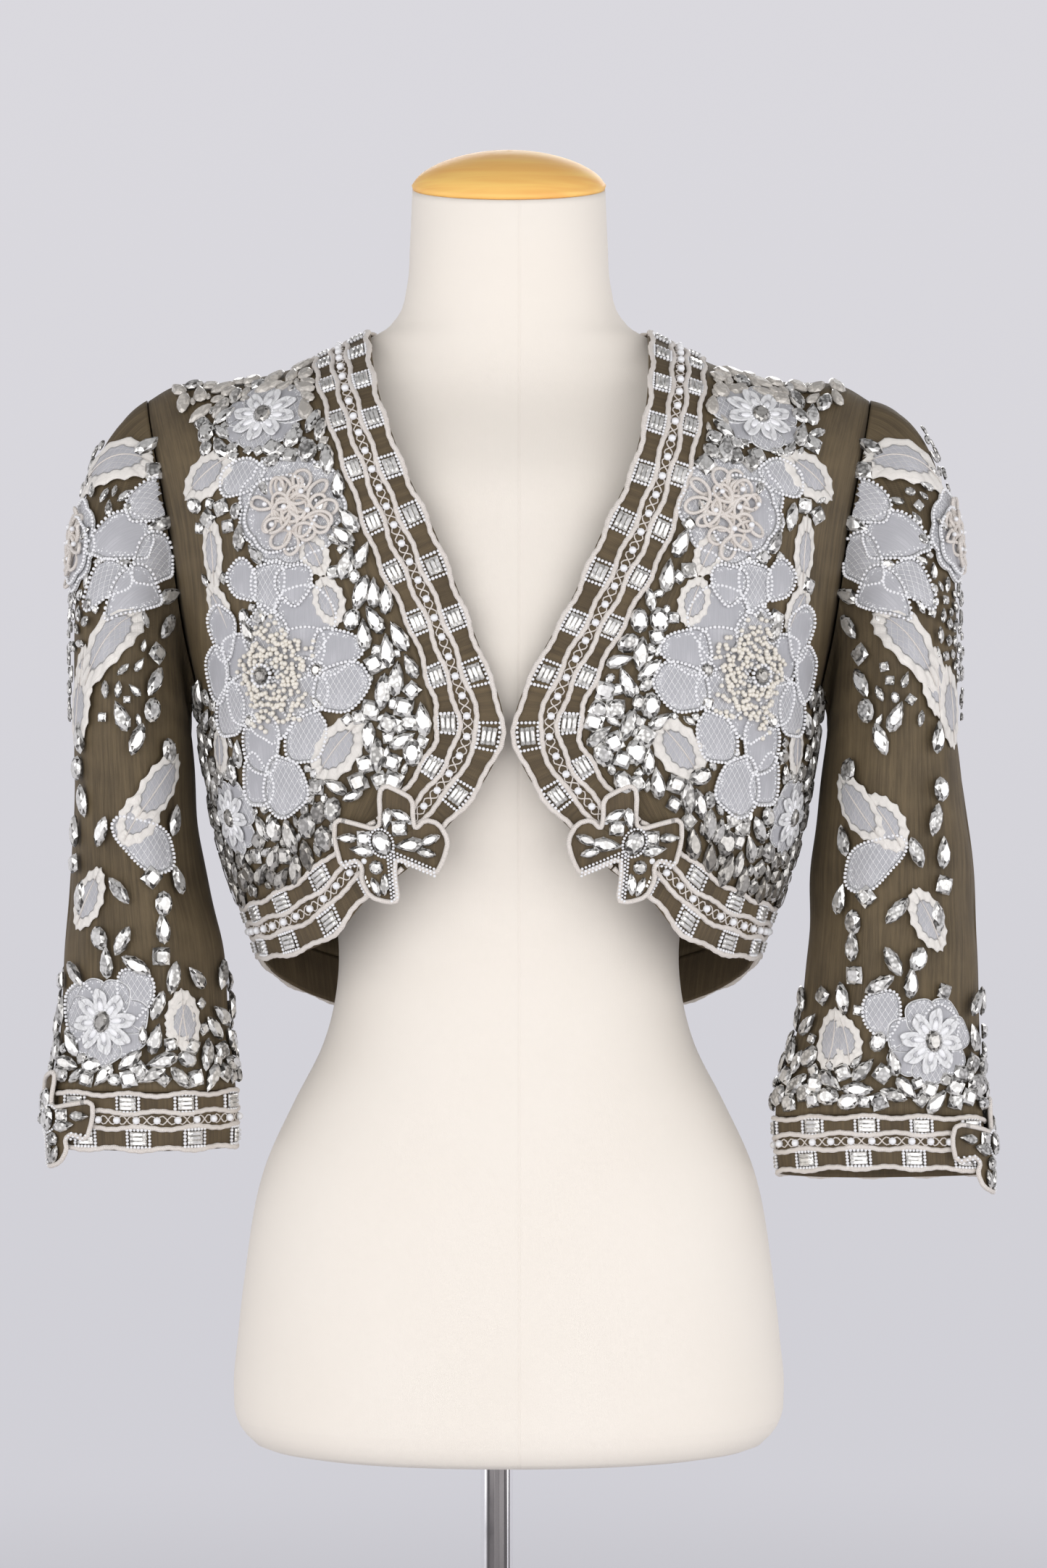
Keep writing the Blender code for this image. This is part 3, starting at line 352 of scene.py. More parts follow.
# A cut stone's rims: share of its outline, share of its height, half steps turned
STONE_LEVELS = ((0.88, 0.0, 0), (1.0, 0.3, 0), (0.82, 0.76, 1), (0.55, 1.0, 2))
# Half width, half length and height of each kind of stone
STONES = {
    "navette": (0.0044, 0.0096, 0.0036),
    "drop": (0.0048, 0.0094, 0.0038),
    "oval": (0.0054, 0.0072, 0.0038),
    "square": (0.0052, 0.0052, 0.0032),
    "round": (0.0046, 0.0046, 0.0034),
    "baguette": (0.0015, 0.0054, 0.0026),
}
# What each point of a trim carries for its material
CARRIED = ("tint", "satin_from", "lattice", "facet")
# A stiff trim: its rims as shares of its outline, how far its top stands over its underside
PLATE_SHARES = (1.0, 0.94, 0.86, 0.76, 0.6, 0.4, 0.18)
PLATE_WALL = 0.0004
# How far one layer of scales stands over the next, and the satin share that makes one a leaf
LAYER_STEP = 0.0005
LEAF_SATIN = 0.85
# A rose's coils: lobes, their two radii, and the middle across and up, as shares of its reach
ROSE_COILS = ((9, 0.46, 0.22, -0.16, 0.08), (7, 0.34, 0.22, -0.2, -0.26), (6, 0.2, 0.2, -0.06, 0.16))
ROSE_BEADS = ((-0.28, 0.3), (0.1, 0.34), (-0.42, -0.05), (0.24, -0.3), (-0.1, -0.38),
              (0.02, 0.02), (0.4, 0.08))
# The mound of a bead flower: how many beads, and the turn from one to the next
MOUND_BEADS = 230
GOLDEN_TURN = 2.39996
# Organza scales of a front: place, length, width, heading, satin from, lattice, layer
SCALES = table(
    "out height length width heading satin lattice layer",
    (0.1256, 1.045, 0.024, 0.023, 90, 0.93, 0, 2),
    (0.156, 1.048, 0.026, 0.019, 60, 0.93, 0, 2),
    (0.141, 1.044, 0.03, 0.022, 90, 0.95, 1, 1),
    (0.119, 1.023, 0.044, 0.036, 75, 0.94, 0, 0),
    (0.1005, 1.006, 0.032, 0.026, -10, 0.93, 0, 1),
    (0.0965, 0.985, 0.036, 0.028, -25, 0.93, 1, 2),
    (0.169, 1.018, 0.034, 0.022, 80, 0.9, 0, 1),
    (0.164, 0.972, 0.034, 0.026, -60, 0.93, 1, 1),
    (0.145, 0.953, 0.038, 0.028, -80, 0.93, 0, 1),
    (0.131, 0.927, 0.036, 0.031, -90, 0.92, 1, 2),
    (0.118, 0.956, 0.034, 0.025, -60, 0.93, 1, 0),
    (0.172, 0.993, 0.034, 0.022, 95, 0.93, 0, 2),
    (0.114, 1.063, 0.03, 0.018, 60, 0.72, 0, 1),
    (0.148, 0.93, 0.032, 0.024, -100, 0.9, 0, 0),
    (0.158, 1.11, 0.03, 0.022, -20, 0.9, 1, 0),
    (0.105, 1.035, 0.032, 0.02, 70, 0.75, 0, 1),
)
# Organza scales and stitched leaves of a sleeve's front, by place across and up
SLEEVE_SCALES = table(
    "out height length width heading satin lattice layer",
    (0.238, 1.125, 0.062, 0.03, 70, 0.72, 0, 1),
    (0.215, 1.099, 0.034, 0.026, 100, 0.93, 1, 2),
    (0.233, 1.078, 0.04, 0.03, 60, 0.93, 0, 1),
    (0.214, 1.064, 0.034, 0.026, 130, 0.93, 1, 1),
    (0.225, 1.044, 0.036, 0.026, 90, 0.93, 0, 2),
    (0.242, 1.05, 0.036, 0.022, 80, 0.93, 1, 0),
    (0.239, 1.015, 0.066, 0.026, 84, 0.74, 0, 1),
    (0.256, 0.99, 0.044, 0.022, 95, 0.74, 1, 0),
    (0.211, 0.926, 0.052, 0.024, 52, 0.84, 0, 2),
    (0.219, 0.893, 0.046, 0.024, -38, 0.93, 1, 0),
    (0.252, 0.858, 0.044, 0.022, 60, 0.76, 0, 1),
    (0.196, 0.785, 0.04, 0.024, 100, 0.76, 1, 1),
    (0.26, 0.79, 0.036, 0.022, 80, 0.9, 1, 0),
    (0.224, 0.802, 0.03, 0.022, 90, 0.93, 1, 0),
)
# Loose stones of a sleeve's front, in rows: places across and up, and each stone's heading
SLEEVE_STONES = table(
    "out height heading kind",
    (0.208, 1.135, 20, 0), (0.212, 1.118, -10, 2), (0.209, 1.085, 10, 1), (0.2055, 1.042, 0, 0),
    (0.207, 1.023, 15, 1), (0.212, 1.006, 0, 2), (0.213, 0.989, -5, 1), (0.215, 0.972, 0, 3),
    (0.232, 0.968, 30, 0), (0.223, 0.954, -20, 1), (0.201, 0.87, 20, 0), (0.215, 0.872, -40, 2),
    (0.208, 0.856, 0, 3), (0.208, 0.842, 5, 0), (0.209, 0.825, 0, 2), (0.202, 0.811, -10, 1),
    (0.242, 0.82, 0, 0), (0.246, 0.835, 20, 3), (0.231, 0.833, -30, 1), (0.223, 0.819, 60, 1),
    (0.257, 0.956, 5, 0), (0.259, 0.937, -10, 3), (0.256, 0.918, 10, 1), (0.261, 0.899, 0, 0),
    (0.262, 0.879, 15, 2), (0.258, 0.86, -10, 1), (0.244, 0.899, -25, 1), (0.206, 0.948, 10, 3),
    (0.203, 0.906, -15, 0), (0.233, 0.864, 40, 1),
)
STONE_NAMES = ("drop", "navette", "square", "oval")
STONE_ODDS = (0.36, 0.3, 0.18, 0.16)
STONE_LIFT = 0.0006
STONE_SPACING = 0.0098
# The sizes of loose stones: in rows, then the first, two fifths on and last of the others
FILL_SIZES = (1.12, 1.02, 0.82, 0.4)
# Places tried at random for loose stones, and how far in from edges they stop
FRONT_TRIES = 30000
SLEEVE_TRIES = 15000
BACK_TRIES = 14000
ARMHOLE_MARGIN = 0.02
SHOULDER_MARGIN = 0.004
BACK_MARGIN = 0.007
# The dense stones over a cuff: where they start down the sleeve, and how far up they go
CUFF_STONES = 1.965
CUFF_STONES_UP = 0.3
# The left sleeve's trims hang lower than the right's, from the upper arm down
LEFT_SLEEVE_DROP = 0.012
DROP_BELOW = 0.95
# How much larger a front's leaves and bead flower are than their solids
FRONT_SWELL = 1.15
# Soft box lights: place, width, height and power; each faces the middle of the jacket
LIT_HEIGHT = 0.95
LIGHTS = table(
    "x y z width height power",
    (-1.8, -2.9, 1.3, 2.5, 2.8, 36),
    (2.0, -2.7, 1.15, 2.3, 2.8, 29),
    (0.0, -3.1, 0.9, 1.8, 2.4, 13),
    (-2.8, -0.5, 1.0, 1.2, 2.0, 7),
    (2.8, -0.5, 1.0, 1.2, 2.0, 10),
    (0.3, 2.4, 2.4, 1.8, 1.0, 18),
)
# Extra organza scales on each half of the back
BACK_SCALES = table(
    "out height length width heading satin lattice layer",
    (0.042, 1.025, 0.036, 0.028, -60, 0.93, 1, 1), (0.048, 1.085, 0.034, 0.026, 30, 0.93, 0, 1),
    (0.07, 1.065, 0.036, 0.026, 60, 0.93, 1, 0), (0.125, 1.055, 0.046, 0.024, -60, 0.72, 0, 1),
    (0.096, 1.04, 0.036, 0.03, 90, 0.93, 0, 0), (0.13, 1.115, 0.036, 0.026, 30, 0.93, 1, 1),
    (0.025, 0.955, 0.04, 0.022, 100, 0.76, 0, 1), (0.11, 0.995, 0.044, 0.024, 60, 0.74, 1, 1),
    (0.15, 1.01, 0.036, 0.026, 80, 0.93, 0, 1), (0.14, 0.95, 0.036, 0.028, 60, 0.93, 1, 1),
    (0.075, 0.925, 0.036, 0.026, -30, 0.93, 0, 1), (0.15, 0.9, 0.034, 0.024, 90, 0.93, 0, 1),
)
# A bow's stones: across and up as shares of its reach, kind, heading and size
BOW_STONES = (
    (-0.32, 0.1, "square", 0, 0.85), (-0.36, -0.1, "drop", 82, 0.85), (0.26, 0.26, "square", 4, 0.9),
    (0.28, 0.46, "navette", 62, 0.75), (0.06, 0.4, "drop", 172, 0.75), (0.42, -0.01, "drop", 96, 1.0),
    (0.74, 0.07, "navette", 112, 0.7), (0.68, -0.14, "navette", 76, 0.65), (-0.13, -0.38, "round", 0, 0.95),
    (-0.16, -0.7, "navette", 24, 0.65), (0.0, -0.66, "navette", -4, 0.7), (-0.62, 0.1, "drop", 90, 0.7),
)
GEM_FRAME = (0.0056, 0.0068)
FRAME_BEAD = 0.00118
FRAME_PITCH = 0.0023
GEM_STEP = 0.0028
# How far a band's two rows of framed stones are shifted along it
GEM_SHIFT = 0.003
# How far apart stones stand down and across beside a front's band
STONE_ROW = 0.0172
STONE_COLUMN = 0.0099
STONE_COLUMNS = 6
# A bow's rim from its left lobe round by its top: four flared lobes, as shares of its reach
BOW_RIM = table(
    "across up",
    (-0.83, 0.42), (-0.45, 0.33), (-0.14, 0.24), (-0.04, 0.34), (-0.08, 0.86), (0.02, 0.97), (0.22, 0.88),
    (0.46, 0.74), (0.47, 0.4), (0.52, 0.24), (0.66, 0.4), (0.88, 0.34), (1.04, 0.06), (0.98, -0.24),
    (0.86, -0.5), (0.62, -0.4), (0.2, -0.22), (0.17, -0.52), (0.22, -0.94), (0.04, -0.97), (-0.28, -0.88),
    (-0.42, -0.6), (-0.38, -0.38), (-0.5, -0.26), (-0.76, -0.4), (-0.86, 0.06),
)
# Rays of seed beads on a bow: from and to, as shares of its reach
BOW_RAYS = (((0.12, -0.16), (0.82, -0.46)), ((0.12, -0.16), (0.16, -0.9)),
            ((-0.7, -0.34), (-0.46, -0.3)))
CAMERA_LENS = 97.275
CAMERA_PLACE = (0.009, -2.6, 0.9278)


def smooth(at, xs, ys):
    """A smooth curve through (xs, ys): cubics whose end slopes are the mean slopes there."""
    at = np.clip(at, xs[0], xs[-1])
    slopes = np.gradient(ys, xs)
    left = np.clip(np.searchsorted(xs, at, side="right") - 1, 0, len(xs) - 2)
    step = xs[left + 1] - xs[left]
    t = (at - xs[left]) / step
    value = (1 + 2 * t) * (1 - t) ** 2 * ys[left] + t * t * (3 - 2 * t) * ys[left + 1]
    return value + step * (t * (1 - t) ** 2 * slopes[left] - t * t * (1 - t) * slopes[left + 1])


def run_of(steps):
    """The distance run at each point of a line, from the lengths of its steps."""
    return np.concatenate([[0.0], np.cumsum(steps)])


def lengths(x, y):
    """The share of a line's length at each of its points."""
    steps = np.hypot(np.diff(x), np.diff(y))
    return run_of(steps) / steps.sum()


def turns(count):
    """Even turns round a circle."""
    return np.arange(count) * 2 * math.pi / count


def shoulder_height(out):
    """Height of the shoulder seam at a distance from the middle."""
    return smooth(np.abs(out), SHOULDER["out"], SHOULDER["height"])


def half_width(height):
    """Half the body's width at a height."""
    return smooth(height, BODY["height"], BODY["half_width"])


def turn_at(out, height):
    """How far round the ring a point lies: 0 at the middle, a quarter circle at the side."""
    return np.arcsin(np.clip(out / half_width(height), -1, 1))


def body_point(turn, height, face):
    """The body's cloth: a rounded ring at each height, drawn in to the shoulder line.

    Over the shoulder's roll the depth shrinks as a quarter circle does, to nothing at the
    seam. face is -1 in front and 1 behind.
    """
    depth = smooth(height, BODY["height"], BODY["front"] if face < 0 else BODY["back"])
    out = half_width(height) * np.sin(turn)
    round_off = (1 - np.abs(np.sin(turn)) ** SQUARENESS) ** (1 / SQUARENESS)
    ring = SIDE_SEAM_Y + (face * depth - SIDE_SEAM_Y) * np.sign(np.cos(turn)) * round_off
    reach = np.clip((shoulder_height(out) - height) / SHOULDER_ROLL, 0, 1)
    roll = np.sqrt(1 - (1 - reach) ** 2)
    ridge = np.interp(np.abs(out), (NECK_OUT, SHOULDER_OUT), (RIDGE_NECK_Y, SIDE_SEAM_Y))
    return np.stack([out, ridge + roll * (ring - ridge), height + 0 * out], axis=-1)


def partials(surface, u, v, step=1e-4):
    """How a surface's points move with each of its two numbers."""
    along_u = (surface(u + step, v) - surface(u - step, v)) / (2 * step)
    along_v = (surface(u, v + step) - surface(u, v - step)) / (2 * step)
    return along_u, along_v


def normals(surface, u, v, sign):
    """Unit normals of a surface, from its two partials."""
    along_u, along_v = partials(surface, u, v)
    facing = np.cross(along_u, along_v) * sign
    return facing / np.linalg.norm(facing, axis=-1, keepdims=True)


def body_normal(turn, height, face):
    """Unit normals of the body; on the shoulder seam they stand square to its slope."""
    facing = normals(lambda u, v: body_point(u, v, face), turn, height, -face)
    out = half_width(height) * np.sin(turn)
    step = 1e-4
    slope = (shoulder_height(np.abs(out) + step) - shoulder_height(np.abs(out) - step)) / (2 * step)
    ridge = np.stack([-slope * np.sign(out), 0 * out, 1 + 0 * out], axis=-1)
    ridge /= np.linalg.norm(ridge, axis=-1, keepdims=True)
    on_seam = (shoulder_height(out) - height) < 0.01 * SHOULDER_ROLL
    return np.where(on_seam[..., None], ridge, facing)


def unit(vectors):
    """Vectors made one long."""
    return vectors / np.linalg.norm(vectors, axis=-1, keepdims=True)


def rows_down(side_rows, armhole_rows):
    """Shares of a front's height, from the hem band up: even on the side, closer near the top."""
    side = np.linspace(0, SIDE_SHARE, side_rows + 1)[:-1]
    rise = 1 - np.linspace(1, 0, armhole_rows + 1) ** ROW_CROWDING
    return np.concatenate([side, SIDE_SHARE + (1 - SIDE_SHARE) * rise])


def right_edge():
    """Out and height of a panel's outer edge: up the side seam, then up the armhole."""
    side_height = np.linspace(HEM_BAND_TOP, UNDERARM_HEIGHT, FINE_SIDE_ROWS + 1)[:-1]
    share = np.linspace(1, 0, FINE_ARMHOLE_ROWS + 1) ** ROW_CROWDING
    at = lengths(ARMHOLE["out"], ARMHOLE["height"])
    out = np.concatenate([half_width(side_height), smooth(share, at, ARMHOLE["out"])])
    edge = turned(out, np.concatenate([side_height, smooth(share, at, ARMHOLE["height"])]))
    edge[:FINE_SIDE_ROWS + 1, 0] = math.pi / 2
    return edge


def patch(low, high, left, right):
    """Fill four edge lines: each point mixes the lines across it, less the mix of the corners."""
    u = np.linspace(0, 1, len(low))[None, :, None]
    v = np.linspace(0, 1, len(left))[:, None, None]
    mixed = (1 - u) * left[:, None] + u * right[:, None] + (1 - v) * low[None] + v * high[None]
    corners = (1 - u) * ((1 - v) * low[0] + v * high[0]) + u * ((1 - v) * low[-1] + v * high[-1])
    return mixed - corners


def turned(out, height):
    """Pair each point's turn with its height."""
    return np.stack([turn_at(out, height), height + 0 * out], axis=-1)


def edge_lines(side, shares):
    """The front edge band's free line and sewn line, at shares of the way down it."""
    at = lengths(EDGE["inner_out"], EDGE["inner_height"])
    further = smooth(shares, LEFT_OPENING["share"], LEFT_OPENING["further"]) * (side == "left")
    line = {name: smooth(shares, at, EDGE[name]) for name in EDGE}
    return (turned(line["edge_out"] + further, line["edge_height"]),
            turned(line["inner_out"] + further, line["inner_height"]))


def hem_lines(shares):
    """The front hem band's free line and sewn line, from the front corner to the side seam."""
    side = (half_width(HEM_HEIGHT), HEM_HEIGHT, half_width(HEM_BAND_TOP), HEM_BAND_TOP)
    line = [np.append(HEM[name], end) for name, end in zip(HEM, side)]
    at = lengths(line[2], line[3])
    hem_out, hem_height, top_out, top_height = [smooth(shares, at, column) for column in line]
    free, sewn = turned(hem_out, hem_height), turned(top_out, top_height)
    sewn[-1, 0] = math.pi / 2
    return free, sewn


def back_hem(turn):
    """Height of the back's hem, which dips towards the middle."""
    return HEM_HEIGHT - BACK_HEM_DIP * np.cos(turn)


def neck_lines(count):
    """The back neck band's free line and sewn line."""
    sewn_out = BAND_OUT * np.sin(np.linspace(math.pi / 2, -math.pi / 2, count))
    at = np.abs(sewn_out)
    free = turned(sewn_out * NECK_OUT / BAND_OUT, smooth(at, BACK_NECK["out"], BACK_NECK["edge_height"]))
    return free, turned(sewn_out, smooth(at, BACK_NECK["out"], BACK_NECK["band_height"]))


def front_grid(side):
    """Turn and height of each point of a front panel, laid out on the wearer's left."""
    _, left = edge_lines(side, 1 - rows_down(FINE_SIDE_ROWS, FINE_ARMHOLE_ROWS))
    right = right_edge()
    _, low = hem_lines(np.linspace(0, 1, FINE_COLUMNS + 1))
    top_out = np.linspace(BAND_OUT, SHOULDER_OUT, FINE_COLUMNS + 1)
    high = turned(top_out, shoulder_height(top_out))
    high[0], high[-1] = left[-1], right[-1]
    return patch(low, high, left, right)


def back_grid():
    """Turn and height of each point of the back panel."""
    right = right_edge()
    shoulder_out = np.linspace(SHOULDER_OUT, BAND_OUT, FINE_COLUMNS // 2 + 1)[:-1]
    _, neck = neck_lines(FINE_COLUMNS + 1)
    half = turned(shoulder_out, shoulder_height(shoulder_out))
    half[0] = right[-1]
    high = np.concatenate([half, neck, half[::-1] * (-1, 1)])[::-1]
    low_turn = np.linspace(-math.pi / 2, math.pi / 2, len(high))
    low = np.stack([low_turn, back_hem(low_turn) + HEM_BAND_TOP - HEM_HEIGHT], axis=-1)
    return patch(low, high, right * (-1, 1), right)


def armhole_loop(turn):
    """The armhole as a loop: over the front from the shoulder point, under the arm and back."""
    part = np.mod(turn, 2 * math.pi) / math.pi
    down = np.where(part > 1, 2 - part, part) ** ROW_CROWDING
    at = lengths(ARMHOLE["out"], ARMHOLE["height"])
    out, height = smooth(down, at, ARMHOLE["out"]), smooth(down, at, ARMHOLE["height"])
    angle = turn_at(out, height)
    point = np.where((part > 1)[..., None], body_point(angle, height, 1), body_point(angle, height, -1))
    return point + (ARMHOLE_EASE, 0, ARMHOLE_EASE / 2)


def fold_depth(turn):
    """How far a sleeve's soft folds stand in or out, at a turn round it."""
    degrees = np.degrees(np.mod(turn, 2 * math.pi))[..., None]
    offset = (degrees - SLEEVE_FOLDS["turn"]) / SLEEVE_FOLDS["width"]
    return (SLEEVE_FOLDS["depth"] * np.exp(-offset ** 2)).sum(axis=-1)


def tube_point(sleeve, turn, height):
    """A sleeve below the armpit: an ellipse at each height, tipped a little near the cuff."""
    rings = sleeve["rings"]
    out, wide, deep, middle = [smooth(height, rings["height"], rings[name]) for name in
                               ("out", "half_width", "half_depth", "middle_y")]
    swell = fold_depth(turn) * np.clip((BICEP_HEIGHT - height) / 0.06, 0, 1)
    rearward = -(deep + swell) * np.sin(turn)
    share = np.clip((BICEP_HEIGHT - height) / (BICEP_HEIGHT - sleeve["cuff_top"]), 0, None)
    rise = height - sleeve["tilt"] * share ** 2 * rearward
    return np.stack([out + (wide + swell) * np.cos(turn), middle + rearward, rise], axis=-1)


def sleeve_point(sleeve, turn, down):
    """A sleeve's surface, for the wearer's left: a cubic cap for down below 1, the tube beyond."""
    turn, down = np.broadcast_arrays(turn, down)
    drop = BICEP_HEIGHT - sleeve["cuff_top"]
    tube = tube_point(sleeve, turn, BICEP_HEIGHT - np.clip(down - 1, 0, None) * drop)
    start = armhole_loop(turn)
    end = tube_point(sleeve, turn, BICEP_HEIGHT + 0 * turn)
    reach = np.linalg.norm(end - start, axis=-1, keepdims=True)
    over = np.cos(turn / 2) ** 2
    out_x, out_z = sleeve["start"]
    heading = np.stack([over * out_x + (1 - over) * ARMPIT_OUT,
                        -CAP_FORWARD * np.sin(turn) * np.sqrt(over),
                        over * out_z - (1 - over)], axis=-1)
    first = start + heading * reach * CAP_LEAVE
    second = end + np.array([0, 0, 1]) * reach * CAP_ARRIVE
    s = np.clip(down, 0, 1)[..., None]
    cap = ((1 - s) ** 3 * start + 3 * (1 - s) ** 2 * s * first
           + 3 * (1 - s) * s * s * second + s ** 3 * end)
    return np.where((down > 1)[..., None], tube, cap)


def cuff_share(sleeve):
    """Where a cuff ends, as a place down the sleeve."""
    return 1 + (BICEP_HEIGHT - sleeve["cuff_bottom"]) / (BICEP_HEIGHT - sleeve["cuff_top"])


class Ground:
    """A cloth surface in two numbers, worked out on the wearer's left; sign -1 mirrors it."""

    def __init__(self, point, normal, sign=1):
        self.point = point
        self.normal = normal
        self.mirror = np.array([sign, 1.0, 1.0])

    def over(self, u, v, lift=0.0):
        """Points at a height over the surface."""
        return (self.point(u, v) + self.normal(u, v) * np.asarray(lift)[..., None]) * self.mirror

    def lay(self, middle, across, up, lift=0.0):
        """Points and frames at metres across and up from a middle: each offset is turned into
        the surface's own two numbers by its slopes there, so it keeps its length."""
        along_u, along_v = [part[0] for part in partials(self.point, *np.array([middle]).T)]
        side = unit(along_u)
        rise = unit(along_v - along_v.dot(side) * side)
        rise = rise if rise[2] > 0 else -rise
        slopes = np.array([[along_u.dot(way), along_v.dot(way)] for way in (side, rise)])
        change = np.linalg.solve(slopes, np.stack([np.ravel(across), np.ravel(up)]))
        u = middle[0] + change[0].reshape(np.shape(across))
        v = middle[1] + change[1].reshape(np.shape(up))
        facing = self.normal(u, v)
        points = self.point(u, v) + facing * np.asarray(lift)[..., None]
        rise = unit(rise - (facing @ rise)[..., None] * facing)
        side = unit(side - (facing @ side)[..., None] * facing)
        return points * self.mirror, np.stack([side, rise, facing], axis=-2) * self.mirror


def body_ground(face, sign=1):
    """The front's surface (face -1) or the back's (face 1)."""
    return Ground(lambda u, v: body_point(u, v, face), lambda u, v: body_normal(u, v, face), sign)


def sleeve_ground(sleeve):
    """A sleeve's surface."""
    def surface(turn, down):
        """The sleeve's point at a turn and a place down it."""
        return sleeve_point(sleeve, turn, down)
    return Ground(surface, lambda u, v: normals(surface, u, v, 1), sleeve["sign"])


def joined(parts):
    """Several parts as one: points, triangles, and what each point carries."""
    base = np.cumsum([0] + [len(part["points"]) for part in parts[:-1]])
    moved = [part["triangles"] + start for part, start in zip(parts, base)]
    made = {"triangles": np.concatenate(moved)}
    widths = {"points": 3, "uv": 2, "rim": 2, **dict.fromkeys(CARRIED, 0)}
    for name, width in widths.items():
        values = []
        for part in parts:
            shape = (len(part["points"]), width) if width else len(part["points"])
            values.append(np.broadcast_to(part.get(name, np.float64(0)), shape))
        made[name] = np.concatenate(values)
    soft = [np.full(len(part["triangles"]), part.get("soft", True)) for part in parts]
    made["soft"] = np.concatenate(soft)
    return made


def outward(part):
    """Turn a closed part's triangles over if they face into it."""
    a, b, c = [part["points"][part["triangles"][:, corner]] for corner in range(3)]
    if (a * np.cross(b, c)).sum() < 0:
        part["triangles"] = part["triangles"][:, ::-1]
    return part


def cells(rows, columns, around=False):
    """Two triangles for each cell of a grid of points; around joins its last column to its first."""
    index = np.arange(rows * columns).reshape(rows, columns)
    right = np.roll(index, -1, axis=1) if around else index[:, 1:]
    left = index if around else index[:, :-1]
    quads = np.stack([left[:-1], right[:-1], right[1:], left[1:]], -1).reshape(-1, 4)
    return np.concatenate([quads[:, [0, 1, 2]], quads[:, [0, 2, 3]]])


def shell(outer, inner, uv, around=False):
    """A closed wall between two grids: both grids' cells, then a strip round their rims."""
    rows, columns = outer.shape[:2]
    count = rows * columns
    index = np.arange(count).reshape(rows, columns)
    face = cells(rows, columns, around)
    strips = []
    if around:
        rims = [np.append(index[0], index[0, 0]), np.append(index[-1], index[-1, 0])[::-1]]
    else:
        rims = [np.concatenate([index[0, :-1], index[:-1, -1], index[-1, :0:-1], index[::-1, 0]])]
    for rim in rims:
        ahead, back = rim[1:], rim[:-1]
        strips += [np.stack([ahead, back, back + count], -1),
                   np.stack([ahead, back + count, ahead + count], -1)]
    points = np.concatenate([outer.reshape(-1, 3), inner.reshape(-1, 3)])
    flat = uv.reshape(-1, 2)
    triangles = np.concatenate([face, face[:, ::-1] + count, *strips])
    return outward({"points": points, "triangles": triangles, "uv": np.concatenate([flat, flat])})


def fan(sides):
    """Triangles that close a ring of points from its first."""
    return np.stack([np.zeros(sides - 2, int), np.arange(2, sides), np.arange(1, sides - 1)], -1)


def capped(rows, sides):
    """The triangles of a stack of rings with both ends closed."""
    ends = [fan(sides), fan(sides)[:, ::-1] + (rows - 1) * sides]
    return np.concatenate([cells(rows, sides, around=True), *ends])


def tube(path, up, radius, sides, closed=False):
    """A round cord: at each point of a path a circle square to the path's direction."""
    if closed:
        ahead = unit(np.roll(path, -1, axis=0) - np.roll(path, 1, axis=0))
    else:
        ahead = unit(np.gradient(path, axis=0))
    side = unit(np.cross(ahead, up))
    rise = np.cross(side, ahead)
    turn = turns(sides)
    size = np.broadcast_to(radius, len(path))[:, None, None]
    ring = np.cos(turn)[None, :, None] * side[:, None] + np.sin(turn)[None, :, None] * rise[:, None]
    points = path[:, None] + size * ring
    triangles = capped(len(path), sides)
    if closed:
        first, wrap = np.arange(sides), np.roll(np.arange(sides), -1)
        last = first + (len(path) - 1) * sides
        triangles = np.concatenate([
            cells(len(path), sides, around=True), np.stack([last, np.roll(last, -1), wrap], -1),
            np.stack([last, wrap, first], -1)])
    run = run_of(np.linalg.norm(np.diff(path, axis=0), axis=1))
    uv = np.stack(np.broadcast_arrays(run[:, None], turn[None, :] * np.mean(radius)), -1).reshape(-1, 2)
    return outward({"points": points.reshape(-1, 3), "triangles": triangles, "uv": uv})


def lathe(profile, middle=(0, 0, 0), squeeze=1.0):
    """A turned solid: a profile of (out, height) points spun about +Z."""
    turn = turns(TURNED_SIDES)
    out, height = np.array(profile, float).T
    points = np.stack([out[:, None] * np.cos(turn), out[:, None] * np.sin(turn) * squeeze,
                       height[:, None] + 0 * turn], axis=-1) + middle
    return {"points": points.reshape(-1, 3), "triangles": cells(len(out), len(turn), around=True)}


def scatter(shape, places, frames, sizes, tints, soft=True):
    """Copies of a small shape: each stands at its place, along its frame's three directions,
    stretched by its sizes. A mirrored frame's copies have their triangles turned over."""
    points, triangles = shape
    count, corners = len(places), len(points)
    sizes = np.broadcast_to(sizes, (count, 3))
    stretched = points[None] * sizes[:, None]
    world = places[:, None] + np.einsum("nkj,nji->nki", stretched, frames)
    mirrored = np.linalg.det(frames) < 0
    faces = np.broadcast_to(triangles, (count, *triangles.shape)).copy()
    faces[mirrored] = faces[mirrored][:, :, ::-1]
    faces += (np.arange(count) * corners)[:, None, None]
    tint = np.repeat(np.broadcast_to(tints, count), corners)
    return {"points": world.reshape(-1, 3), "triangles": faces.reshape(-1, 3), "tint": tint, "soft": soft}


def spun(frames, degrees):
    """Frames turned about their own facing direction."""
    angle = np.radians(np.broadcast_to(degrees, len(frames)))[:, None]
    side, rise, facing = frames[:, 0], frames[:, 1], frames[:, 2]
    return np.stack([np.cos(angle) * side + np.sin(angle) * rise,
                     np.cos(angle) * rise - np.sin(angle) * side, facing], axis=1)


